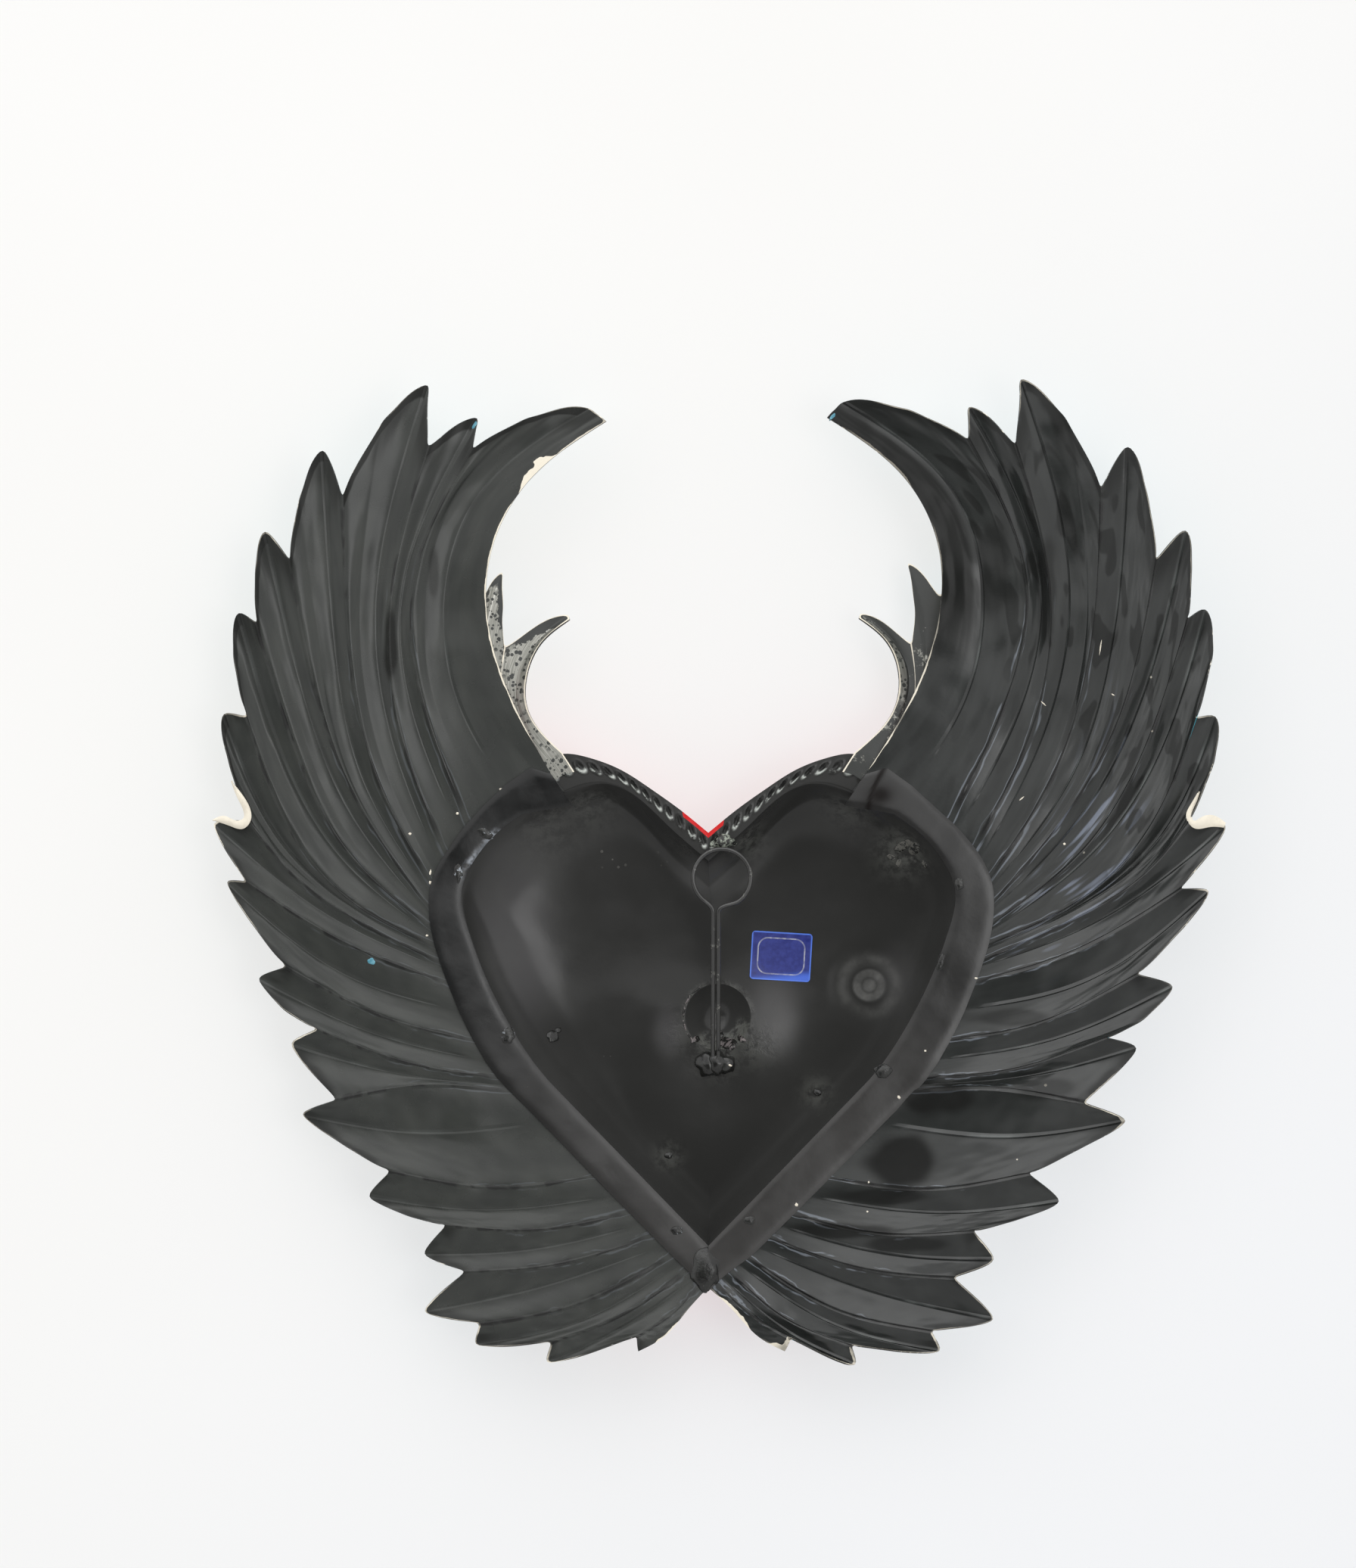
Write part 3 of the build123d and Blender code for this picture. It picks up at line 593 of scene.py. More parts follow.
def painted_fold_light(g, colour, groove, ridge, gloss):
    """Painted shade in grooves and beside the notches, crisp near the root; painted highlights on ridges and
    notch rims.
    """
    broken = g.ramp(g.streaks(0.7, 9.0, 2.0), 0.42, 0.6)
    # Painted shade: darker along the grooves.
    colour = g.mix(g.times(groove, broken, 0.8), colour, rgb(20, 20, 19))
    painted_ridge_highlight = g.ramp(g.streaks(0.9, 5.0, 2.0), 0.48, 0.66)
    # Painted highlight: paler along the ridges.
    colour = g.mix(g.times(ridge, painted_ridge_highlight, 0.6 * gloss ** 2), colour, rgb(112, 117, 115))
    line = g.math("DIVIDE", "valley", g.ramp(g.streaks(1.3, 7.0, 2.0), 0.3, 0.7, 0.35, 1.25))
    inside = g.times(g.ramp(line, 1.0, 0.7), g.ramp("along", 0.02, 0.06))
    crisp = g.ramp("along", 0.4, 0.08, 0.0, 0.14)
    whole_line = g.ramp(g.math("MULTIPLY_ADD", crisp, 5.0, broken), 0.0, 1.0)
    # Painted shade: dark lines beside the notches.
    colour = g.mix(g.times(inside, whole_line, 0.45 + 0.4 * gloss), colour, rgb(24, 24, 24))
    painted_glint = g.ramp(g.plus(g.streaks(2.2, 8.0, 2.0), crisp), 0.5, 0.62)
    rim = g.times(g.ramp(line, 1.0, 1.15), g.ramp(line, 1.75, 1.4), painted_glint, g.ramp("along", 0.75, 0.4))
    # Painted glints: pale rims beside those dark lines.
    return g.mix(g.times(rim, 0.7 * gloss ** 2), colour, rgb(118, 124, 132))


def painted_dark_marks(g, gloss):
    """Share of painted dark reflection: odd spots, feather ends and the borders of the outer feathers."""
    ends = g.times(g.ramp("along", 0.84, 0.97), g.ramp(g.streaks(1.1, 3.0, 2.0), 0.4, 0.55))
    border = g.ramp(g.plus("edge", g.times(g.noise(110.0, 2.0), 3.0)), 6.2, 4.8)
    border = g.times(border, g.ramp("along", 0.7, 0.84), g.ramp("outer", 0.4, 0.6))
    return g.most("shade", g.times(ends, 0.55), g.times(border, 1.1 - 0.6 * gloss))


def wing_black(name, gloss):
    """Black spray on the back of a wing with painted shade, highlights and dark reflections; the glossy wing
    also has painted dark blocks and a painted window reflection.
    """
    g = Graph(name)
    glossy = gloss > 0.8
    clear_of_root = g.ramp("along", 0.06, 0.2)
    groove, ridge = g.times("groove", clear_of_root), g.times("ridge", clear_of_root)
    colour = painted_fold_light(g, wing_base(g, glossy), groove, ridge, gloss)
    dark = painted_dark_marks(g, gloss)
    if glossy:
        # Painted dark reflections in blocks and along the inner edge.
        painted_dark_blocks = g.times(g.ramp(g.streaks(1.0, 9.0, 1.0), 0.55, 0.61), g.ramp("along", 0.3, 0.45, 0.2, 0.5),
                         g.ramp("across", 22.0, 19.0))
        painted_inner_dark_reflection = g.times(g.ramp("across", 1.9, 1.3), g.ramp("along", 0.22, 0.42), 0.75)
        dark = g.most(dark, painted_dark_blocks, painted_inner_dark_reflection)
        low_feathers = g.times(g.ramp("across", 9.0, 13.0), g.ramp("across", 24.0, 20.0))
        near_root = g.times(g.ramp("along", 0.1, 0.2), g.ramp("along", 0.6, 0.4))
        # Painted reflection of a bright window on the low feathers near the root.
        painted_window_reflection = g.times(g.ramp(g.streaks(1.7, 4.5, 1.6, 0.5), 0.56, 0.66), low_feathers, near_root)
        colour = g.mix(g.times(painted_window_reflection, 0.65), colour, rgb(128, 136, 152))
    # Painted dark reflections and painted shade, mixed in as deep black.
    colour = g.mix(dark, colour, rgb(26, 26, 25))
    wave = g.times(g.streaks(1.2, 6.0, 1.0), g.ramp("along", 0.1, 0.55))
    normal = g.bump(wave, 0.3 * gloss, 0.002)
    normal = g.bump(g.math("SUBTRACT", ridge, groove), 0.8 * gloss ** 2, 0.0008, normal)
    normal = g.bump(g.noise(900.0, 2.0), 0.05, 0.0002, normal)
    rough = g.patches(60.0, 5.0, 0.3, 0.75, 0.3 - 0.14 * gloss, 0.38 - 0.14 * gloss)
    return g.done(Base_Color=colour, Roughness=rough, Normal=normal,
                  Specular_IOR_Level=g.ramp(dark, 0.0, 1.0, 0.5 if glossy else 0.36, 0.1))


def wing_front(name):
    """Pale enamel on the face of a wing: white feathers, turquoise ends and a blush near the heart."""
    g = Graph(name)
    along = g.plus("along", g.times(g.noise(45.0, 3.0), 0.16))
    colour = g.mix(g.patches(60.0, 5.0, 0.3, 0.75), rgb(238, 234, 224), rgb(222, 219, 210))
    colour = g.mix(g.ramp(along, 0.5, 0.12), colour, PINK)
    colour = g.mix(g.ramp(along, 0.78, 1.0), colour, TURQUOISE)
    worn = g.below(g.plus("edge", g.noise(300.0, 3.0)), 0.42)
    colour = g.mix(worn, colour, TIN)
    normal = g.bump(g.streaks(14.0, 3.0, 4.0), 0.2, 0.0004)
    return g.done(Base_Color=colour, Roughness=g.patches(80.0, 4.0, 0.3, 0.7, 0.22, 0.38), Normal=normal)


def pale_enamel(name):
    """Cream enamel of the face where the sheet curls back."""
    g = Graph(name)
    colour = g.mix(g.patches(180.0, 5.0, 0.3, 0.7), CREAM, rgb(222, 214, 198))
    normal = g.bump(g.noise(420.0, 4.0), 0.2, 0.0004)
    return g.done(Base_Color=colour, Roughness=g.patches(260.0, 3.0, 0.3, 0.7, 0.25, 0.42), Normal=normal)


def bright_enamel(name):
    """Turquoise enamel of the face, as a stray drop on the back."""
    g = Graph(name)
    colour = g.mix(g.patches(700.0, 4.0, 0.35, 0.65), rgb(64, 130, 150), rgb(108, 166, 182))
    normal = g.bump(g.noise(900.0, 3.0), 0.3, 0.0003)
    return g.done(Base_Color=colour, Roughness=g.patches(500.0, 3.0, 0.3, 0.7, 0.3, 0.5), Normal=normal)


def cut_edge(name):
    """Cut edge of the sheet: pale paint that wrapped over, chipped down to tin and dark spray."""
    g = Graph(name)
    chips = g.ramp(g.noise(130.0, 5.0, 0.7), 0.6, 0.68)
    bare = g.patches(420.0, 3.0, 0.62, 0.68)
    colour = g.mix(bare, g.mix(chips, SOOT, CREAM), TIN)
    normal = g.bump(g.noise(600.0, 3.0), 0.3, 0.0002)
    return g.done(Base_Color=colour, Roughness=g.ramp(bare, 0.0, 1.0, 0.45, 0.3), Normal=normal)


def tin_back(name, cover):
    """Bare tinplate with black overspray and a painted highlight along its ridges; cover is the share that
    the spray hides.
    """
    g = Graph(name)
    x, z = g.spot()
    ragged = g.times(g.math("SUBTRACT", g.noise(260.0, 5.0, 0.7), 0.5), 0.9)
    frayed = g.times(ragged, 0.006)
    frayed_x = g.plus(x, frayed)
    blots = g.ramp(g.noise(190.0, 6.0, 0.75), 0.66 - 0.36 * cover, 0.69 - 0.3 * cover)
    bare_band = g.most(g.ramp("across", 0.7, 0.95, 0.3, 1.0), g.ramp("along", 0.5, 0.3))
    mist = g.times(g.dots(820.0, 0.62), g.patches(120.0, 3.0, 0.36, 0.5))
    slant = g.plus(g.math("MULTIPLY_ADD", x, 0.44, z), frayed)
    low_feather = g.times(g.above(slant, 0.0953), g.below(frayed_x, 0.0612))
    high_feather = g.times(g.below(frayed_x, 0.0662), g.above(g.plus(z, frayed), 0.0735),
                           g.above("across", 2.0))
    ends = g.ramp(g.plus("along", g.times(ragged, 0.3)), 0.92, 0.96)
    spray = g.most(g.times(blots, bare_band), mist, low_feather, high_feather, ends)
    tin = g.mix(g.ramp(g.streaks(18.0, 4.0, 5.0), 0.3, 0.7), rgb(116, 117, 110), rgb(172, 171, 164))
    # Painted highlight: the tin is paler along the ridge folds.
    painted_crease_highlight = g.times("ridge", g.ramp("along", 0.3, 0.5))
    tin = g.mix(g.times(painted_crease_highlight, 0.7), tin, rgb(214, 213, 206))
    line = g.below(g.plus("edge", g.times(g.noise(160.0, 3.0), 0.5)), 0.7)
    seam = g.times(g.ramp("across", 1.6, 1.8), g.ramp("across", 2.4, 2.2), g.ramp("groove", 0.4, 0.65),
                   g.patches(140.0, 3.0, 0.36, 0.5), 0.85)
    colour = g.mix(g.most(line, seam), g.mix(spray, tin, SOOT), CREAM)
    metal = g.times(g.math("SUBTRACT", 1.0, g.most(spray, line)), 0.7)
    normal = g.bump(g.noise(500.0, 4.0), 0.15, 0.0003)
    return g.done(Base_Color=colour, Metallic=metal, Roughness=g.ramp(spray, 0, 1, 0.42, 0.35), Normal=normal)


def heart_black(name, paler):
    """Gloss black spray inside the heart, paler by a given step, with painted fill light on the steep wall,
    painted reflections on the floor and stud, painted highlights round the beads, and red enamel creeping
    over the rim.
    """
    g = Graph(name)
    cloud = g.patches(30.0, 5.0, 0.35, 0.7)
    colour = g.mix(cloud, rgb(45 + paler, 45 + paler, 44 + paler), rgb(50 + paler, 50 + paler, 49 + paler))
    # Painted fill light: paler where the wall is steep and lies in shade.
    colour = g.mix("wall", colour, g.mix(cloud, rgb(53, 53, 52), rgb(59, 59, 58)))
    dust = g.times(g.dots(420.0, 0.2), g.patches(40.0, 3.0, 0.6, 0.75), 0.35)
    colour = g.mix(dust, colour, TIN)
    dry = g.times("haze", g.ramp(g.noise(330.0, 5.0, 0.65), 0.36, 0.62))
    colour = g.mix(g.times(dry, 0.75), colour, rgb(96, 97, 93))
    # Painted reflections: paler soft patches of the floor.
    colour = g.mix("painted_sheen", colour, g.mix(cloud, rgb(74, 73, 74), rgb(82, 82, 81)))
    # Painted sheen on the stud mark.
    painted_stud_light = g.times("painted_stud_sheen", g.patches(160.0, 3.0, 0.3, 0.65, 0.35, 1.0))
    colour = g.mix(painted_stud_light, colour, rgb(112, 112, 110))
    # Painted highlights on the ridges round the beads.
    painted_highlight = g.times("rim", g.ramp(g.noise(300.0, 4.0, 0.7), 0.42, 0.56))
    colour = g.mix(painted_highlight, colour, rgb(205, 210, 204))
    ragged = g.plus("red", g.times(g.noise(220.0, 3.0), 0.5))
    colour = g.mix(g.ramp(ragged, 0.72, 0.8), colour, RED)
    normal = g.bump(g.noise(34.0, 2.0), 0.12, 0.002)
    normal = g.bump(g.noise(800.0, 2.0), 0.05, 0.0002, normal)
    normal = g.bump(dry, 0.3, 0.0005, normal)
    return g.done(Base_Color=colour, Roughness=g.patches(75.0, 5.0, 0.3, 0.75, 0.12, 0.2), Normal=normal,
                  Specular_IOR_Level=g.ramp("dull", 0.0, 1.0, 0.28, 0.03))


def heart_red(name):
    """Red enamel on the heart's face in two tones, with small chips down to dull metal."""
    g = Graph(name)
    colour = g.mix(g.patches(42.0, 5.0, 0.3, 0.75), rgb(196, 24, 28), rgb(168, 16, 22))
    chips = g.ramp(g.noise(260.0, 5.0, 0.7), 0.7, 0.73)
    colour = g.mix(chips, colour, rgb(120, 112, 106))
    normal = g.bump(g.noise(700.0, 2.0), 0.06, 0.0002, g.bump(g.noise(50.0, 2.0), 0.12, 0.0015))
    return g.done(Base_Color=colour, Roughness=g.patches(90.0, 4.0, 0.3, 0.7, 0.12, 0.26), Normal=normal,
                  Coat_Weight=0.5, Coat_Roughness=0.06)


def strip_black(name):
    """Smooth gloss spray on the binding strips, darker towards the upper end, with painted glints and a
    painted fold line in dark shade.
    """
    g = Graph(name)
    cloud = g.patches(48.0, 5.0, 0.35, 0.7)
    dark_tone = g.mix(cloud, rgb(15, 16, 16), rgb(24, 25, 25))
    colour = g.mix("paler", dark_tone, g.mix(cloud, rgb(56, 55, 54), rgb(62, 61, 60)))
    # Painted glints along the inner edge, kept in the run layer.
    run = g.times("run", g.patches(210.0, 3.0, 0.4, 0.6))
    colour = g.mix(run, colour, rgb(150, 156, 164))
    # Painted fold line with its painted shade.
    colour = g.mix("painted_fold_shade", colour, rgb(24, 21, 20))
    specks = g.times(g.dots(110.0, 0.05), g.patches(30.0, 2.0, 0.5, 0.6))
    colour = g.mix(specks, colour, CREAM)
    normal = g.bump(g.noise(850.0, 2.0), 0.05, 0.0002, g.bump(g.noise(90.0, 3.0), 0.1, 0.0008))
    return g.done(Base_Color=colour, Roughness=g.patches(70.0, 5.0, 0.3, 0.75, 0.16, 0.28), Normal=normal,
                  Specular_IOR_Level=g.ramp("painted_fold_shade", 0.0, 1.0, 0.5, 0.12))


def wire_black(name):
    """Gloss spray on the wire, worn to steel in small places."""
    g = Graph(name)
    worn = g.ramp(g.noise(300.0, 5.0, 0.7), 0.6, 0.68)
    colour = g.mix(worn, rgb(46, 46, 45), rgb(120, 120, 115))
    normal = g.bump(g.noise(1200.0, 3.0), 0.2, 0.0002)
    return g.done(Base_Color=colour, Metallic=g.ramp(worn, 0, 1, 0.0, 0.7), Normal=normal,
                  Roughness=g.ramp(worn, 0, 1, 0.16, 0.35), Coat_Weight=0.5, Coat_Roughness=0.08)


def solder_paint(name, crust, flux=(150, 156, 144), grain=0.4):
    """Lumpy solder under spray; crust is the share of flux left on it, and grain is how rough its skin is."""
    g = Graph(name)
    colour = g.mix(g.patches(350.0, 4.0, 0.35, 0.7), rgb(27, 27, 26), rgb(42, 43, 41))
    pale = g.ramp(g.noise(620.0, 5.0, 0.7), 0.72 - 0.3 * crust, 0.78 - 0.3 * crust)
    colour = g.mix(pale, colour, rgb(*flux))
    normal = g.bump(g.noise(900.0, 4.0), grain, 0.0004)
    return g.done(Base_Color=colour, Roughness=g.ramp(pale, 0.0, 1.0, 0.18, 0.6), Normal=normal)


def label_paper(name):
    """Blank blue label: brighter low edge, paler cut edges and one thin silver frame line."""
    g = Graph(name)
    fibre = g.patches(900.0, 4.0, 0.3, 0.7)
    colour = g.mix(fibre, rgb(28, 38, 112), rgb(36, 48, 130))
    colour = g.mix("low", colour, rgb(66, 104, 210))
    rubbed = g.ramp(g.patches(500.0, 3.0, 0.4, 0.6), 0, 1, 0.35, 0.75)
    line = g.below(g.math("ABSOLUTE", g.math("SUBTRACT", "frame", FRAME_CORNER)), 0.2)
    colour = g.mix(g.times(line, rubbed), colour, rgb(176, 178, 190))
    colour = g.mix(g.ramp("border", 0.55, 0.15), colour, rgb(84, 124, 226))
    normal = g.bump(g.noise(1500.0, 3.0), 0.08, 0.0001)
    return g.done(Base_Color=colour, Roughness=g.ramp(fibre, 0, 1, 0.28, 0.4), Normal=normal)


# Wings
edge_paint = cut_edge("edge_paint")
face_paint = wing_front("feather_enamel")
wings = {}
for name, side, gloss, cover, softness in (("right", 1, 0.55, 0.12, 40), ("left", -1, 1.0, 0.85, 1)):
    black = wing_black(f"wing_spray_{name}", gloss)
    tin = tin_back(f"tin_overspray_{name}", cover)
    wings[name] = wing_piece(f"wing_{name}", WING_FOLDS, side, WING_ROOT, WING_SWEEP, PLEAT,
                             [black, face_paint, edge_paint], rows=84, column=1.2, softness=softness,
                             seed=side + 2)
    wing_piece(f"covert_{name}", COVERT_FOLDS, side, RIM_BACK, COVERT_SWEEP, COVERT_PLEAT,
               [tin, face_paint, edge_paint], rows=60, column=1.0, softness=2, seed=side + 12)


def lip_piece(name, dark_side, open_side, material):
    """Narrow ribbon of sheet curled towards the back along a cut edge."""
    at = np.linspace(0, 1, 48)
    dark, light = spline(dark_side)(at), spline(open_side)(at)
    shares = np.linspace(0, 1, 9)
    grid = np.stack([dark * (1 - t) + light * t for t in shares], axis=0)
    grid[..., 1] += LIP_CROWN * (1 - (2 * shares[:, None] - 1) ** 2) + wobble(grid, 3, 0.12, 31)
    sheet_piece(name, grid, None, [material] * 3, thickness=LIP_SHEET)


cream_paint = pale_enamel("lip_enamel")
for name, lines in CURLED_LIPS.items():
    lip_piece(f"wing_lip_{name}", *lines, cream_paint)


# Heart
def dome_depth(share, wall):
    """Depth of the pressed dome, from the rim (share 1) to its flat floor; wall is the share that slopes."""
    return DOME_DEPTH * (1 - np.exp(-((1 - share) / wall) ** 1.15))


def loop(points, tip, count):
    """Closed heart outline from the notch round both sides, on the heart's grid."""
    half = half_heart(points, tip, count)
    return np.vstack([half, half[-2:0:-1] * (-1, 1)])


def upright(plan, y):
    """Points in the object's frame from plan points on the heart's grid."""
    return np.stack([plan[..., 0] + HEART_AXIS, np.broadcast_to(y, plan.shape[:-1]), plan[..., 1]], axis=-1)


def spots(grid, table, power):
    """Strongest of some soft spots: X, Z, half width, half height and strength of each."""
    strength = np.zeros(grid.shape[:2])
    for x, z, wide, high, share in table:
        away = ((grid[..., 0] - x) / wide) ** 2 + ((grid[..., 2] - z) / high) ** 2
        strength = np.maximum(strength, share * np.exp(-away ** power))
    return strength


def heart_rows(rim, opening):
    """Points over rim and dome down to the round hole, with the dull part of the floor and the steep wall
    that takes painted fill light.
    """
    middle = np.array(BOSS_PLACE) - (HEART_AXIS, 0)
    spokes = opening - middle
    reach = np.linalg.norm(spokes, axis=1)
    turn = np.degrees(np.arctan2(spokes[:, 1], spokes[:, 0]))
    wall = 0.06 + 0.065 * (ease(turn, -55, -10) * ease(turn, 150, 110))
    sheen = ease(turn, -12, 20) * ease(turn, 150, 110)
    rows = [upright(rim * (1 - t) + opening * t, RIM_BACK) for t in np.linspace(0, 1, RIM_ROWS)]
    dull = [np.zeros(len(rim))] * RIM_ROWS
    painted_wall_light = [np.zeros(len(rim))] * RIM_ROWS
    for step in np.linspace(0, 1, DOME_ROWS)[1:] ** 1.3:
        share = 1 - step * (1 - BOSS_RADIUS / reach)
        rows.append(upright(middle + spokes * share[:, None], RIM_BACK - dome_depth(share, wall)))
        dull.append(ease(1 - share, 0.72, 0.3) * (1 - sheen))
        painted_wall_light.append(bell(1 - share, 0.09) * (1 - sheen))
    return np.stack(rows), np.stack(dull), np.stack(painted_wall_light)


def press_beads(grid, run, length, width):
    """Presses the row of beads into the rim, and gives the painted highlight on the inner side of the ridge
    round each bead.
    """
    beads = int(length / BEAD_PITCH)
    nearest = (np.clip(np.floor(run * beads), 0, beads - 1) + 0.5) / beads
    offset = (run - nearest) * length
    painted_glint = np.zeros(grid.shape[:2])
    for r in range(RIM_ROWS):
        inset = (r / (RIM_ROWS - 1) - BEAD_INSET) * width
        away = np.sqrt((offset / BEAD_HALF[0]) ** 2 + (inset / BEAD_HALF[1]) ** 2)
        ridge = bell(away - 1.25, 0.28)
        grid[r, :, 1] += BEAD_RIDGE * ridge - BEAD_DEPTH * np.clip(1 - away ** 2, 0, 1)
        painted_glint[r] = ridge * ease(inset, 0.2, 1.2)
    return painted_glint


def heart_piece(materials):
    """Beaded rim and dome as one sheet, with a ringed stud mark pressed into one side of the floor."""
    opening, rim = loop(OPENING, OPENING_TIP, HEART_COUNT), loop(RIM, RIM_TIP, HEART_COUNT)
    grid, dull, painted_wall_light = heart_rows(rim, opening)
    around = np.arange(len(rim))
    run = np.minimum(around, len(rim) - around) / (HEART_COUNT - 1)
    length = np.linalg.norm(np.diff(half_heart(RIM, RIM_TIP, HEART_COUNT), axis=0), axis=1).sum()
    width = np.linalg.norm(rim - opening, axis=1)
    # Painted highlight round each bead, kept in the rim layer.
    painted_glint = press_beads(grid, run, length, width)
    inside = ease(np.arange(len(grid))[:, None] * np.ones(len(rim)), RIM_ROWS, RIM_ROWS + 12)
    for x, z, spread, height in DENTS:
        grid[..., 1] += inside * height * bell(np.hypot(grid[..., 0] - x, grid[..., 2] - z), spread)
    away = np.hypot(grid[..., 0] - ROSETTE[0], grid[..., 2] - ROSETTE[1])
    rings = 0.16 * bell(away - ROSETTE_RADIUS, 0.6) + 0.12 * bell(away - ROSETTE_CORE, 0.6)
    grid[..., 1] += rings - 0.3 * bell(away - ROSETTE_HOLLOW, 2.6)
    grid[..., 1] += (wobble(grid, 26, 0.35, 5) + wobble(grid, 9, 0.06, 6)) * inside
    # Painted sheen on the stud mark, with a paler halo round it.
    painted_stud_sheen = 0.7 * ease(away, ROSETTE_RADIUS, ROSETTE_RADIUS - 1) + 0.3 * bell(away - ROSETTE_HALO, 1.8)
    painted_stud_sheen *= 1 - 0.8 * bell(away - ROSETTE_RADIUS, 0.5) - 0.6 * bell(away - ROSETTE_CORE, 0.5)
    from_hole = np.hypot(grid[..., 0] - HOLE_X, grid[..., 2] - HOLE_Z) - BOSS_RADIUS
    patches = [(x, z, spread, spread, share) for x, z, spread, share in HAZE]
    haze = np.maximum(spots(grid, patches, 1), 0.7 * bell(from_hole, 1.2))
    depth_in = np.linspace(0, 1, RIM_ROWS)[:, None] * width
    red_run = np.where(around < len(rim) / 2, *RED_RUNS)
    red = np.zeros(grid.shape[:2])
    red[:RIM_ROWS] = np.clip(1.35 - depth_in / 1.7, 0, 1) * (run * length < red_run)
    # The wall layer is painted fill light on the steep wall.
    layers = {"rim": painted_glint, "red": red, "haze": haze * inside, "painted_stud_sheen": painted_stud_sheen, "dull": dull, "wall": painted_wall_light,
              "painted_sheen": spots(grid, PAINTED_SHEEN, 1.5) * inside}
    return sheet_piece("heart_skin", grid, ["heart_shell"], materials, layers, closed=True)


def boss_piece(materials, ground):
    """Round cup that fills the hole of the heart from the front."""
    turns = np.linspace(0, 2 * math.pi, BOSS_AROUND + 1)[:-1]
    lip = [(BOSS_RADIUS + BOSS_LIP, 0), (BOSS_RADIUS + 0.4, 0), (BOSS_RADIUS - 0.05, 0.15)]
    cup = [(BOSS_RADIUS * r, (BOSS_DEPTH - 0.3) * (1 - r ** 2)) for r in np.linspace(0.98, 0.02, 28)]
    rows = []
    for radius, depth in lip + cup:
        probe = max(radius, BOSS_RADIUS + 0.3)
        floor = np.array([ground(HOLE_X + probe * math.cos(turn), HOLE_Z + probe * math.sin(turn))
                          for turn in turns])
        lift = (floor - FLOOR_BACK) * min(1, radius / BOSS_RADIUS) ** 2
        rows.append(np.stack([HOLE_X + radius * np.cos(turns), FLOOR_BACK + lift - SHEET - BOSS_GAP - depth,
                              HOLE_Z + radius * np.sin(turns)], axis=-1))
    grid = np.stack(rows)
    grid[..., 1] += wobble(grid, 5, 0.12, 8) * (np.arange(len(grid))[:, None] >= len(lip))
    outward = np.array([radius / BOSS_RADIUS for radius, _ in lip + cup])[:, None]
    crescent = ease(outward, 0.5, 0.8) * ease(np.cos(turns - math.radians(250)), 0.25, 0.85)
    return sheet_piece("boss_skin", grid, ["centre_boss"], materials, {"haze": 3.5 * crescent},
                       closed=True, cap=True)


inside_black = heart_black("heart_spray", 0)
outside_red = heart_red("heart_enamel")
heart_ground = ground_of(heart_piece([inside_black, outside_red, inside_black]))
# The boss takes a paler copy of the spray: painted light over the shade of its hollow.
boss = boss_piece([heart_black("boss_spray", 14), outside_red, outside_red], heart_ground)


# Binding strips
def strip_layers(grid, run, across, side):
    """Paler paint towards the lower end of a strip, painted glints on the right strip, and a painted fold
    line and painted shade on the left one.
    """
    x, z = grid[..., 0], grid[..., 2]
    paler = 0.05 + 0.8 * ease(run, 0.35, 0.9) if side > 0 else 0.36 + 0.55 * ease(run, 0.4, 0.65)
    painted_highlight = sum(bell(z - height, spread) for height, spread in PAINTED_GLINTS) * ease(across, 0.3, 0.08)
    painted_hollow_shade = bell(x - PAINTED_HOLLOW_SHADE[0], 4) * bell(z - PAINTED_HOLLOW_SHADE[1], 3)
    down = PAINTED_FOLD_TOP[1] - z
    bowed = x - PAINTED_FOLD_TOP[0] - 0.54 * down + 0.02 * down ** 2
    painted_fold_shade = bell(bowed, np.where(bowed > 0, 0.6, 1.4)) * ease(z, 12, 18)
    return {"paler": np.broadcast_to(paler, grid.shape[:2]), "run": np.clip(painted_highlight, 0, 1) * (side > 0),
            "painted_fold_shade": np.maximum(painted_fold_shade, painted_hollow_shade) * (side < 0)}


def strip_piece(name, side, spread, material, seed):
    """Flat strip over the wing roots with soft edges and waves; spread is how far it laps over the folds."""
    fine = half_heart(OPENING, OPENING_TIP, FINE_COUNT)
    first, last = (int(share * (FINE_COUNT - 1)) for share in STRIP_RUN)
    inner = evenly(np.vstack([[STRIP_CUT], fine[first:last], [(STRIP_SEAM, OPENING_TIP[1])]]), STRIP_COUNT)
    outer = evenly(np.vstack([[fold[1] for fold in WING_FOLDS], [(STRIP_SEAM, STRIP_TIP[1])]]), STRIP_COUNT)
    outward = (outer - inner) / np.linalg.norm(outer - inner, axis=1)[:, None]
    run = np.linspace(0, 1, STRIP_COUNT)
    lap = spread * ease(run, 0.1, 0.22) * ease(run, 0.98, 0.9)
    outer = outer + outward * lap[:, None]
    across = np.linspace(0, 1, 14)[:, None]
    grid = np.stack([upright((inner * (1 - t) + outer * t) * (side, 1), STRIP_BACK) for t in across])
    lean = 0.55 * (1 - across) if side < 0 else 0.5 * across
    crown = lean - 0.3 * (2 * across - 1) ** 6
    grid[..., 1] += crown + wobble(grid, 14, 0.2, seed) + wobble(grid, 5, 0.03, seed + 1)
    grid[..., 1] = np.maximum(grid[..., 1], STRIP_LOWEST)
    return sheet_piece(f"{name}_skin", grid, [f"binding_{name}"], [material] * 3,
                       strip_layers(grid, run, across, side), thickness=STRIP_SHEET)


strip_paint = strip_black("strip_spray")
strips = {1: strip_piece("strip_right", 1, 0.3, strip_paint, 21),
          -1: strip_piece("strip_left", -1, 2.2, strip_paint, 23)}


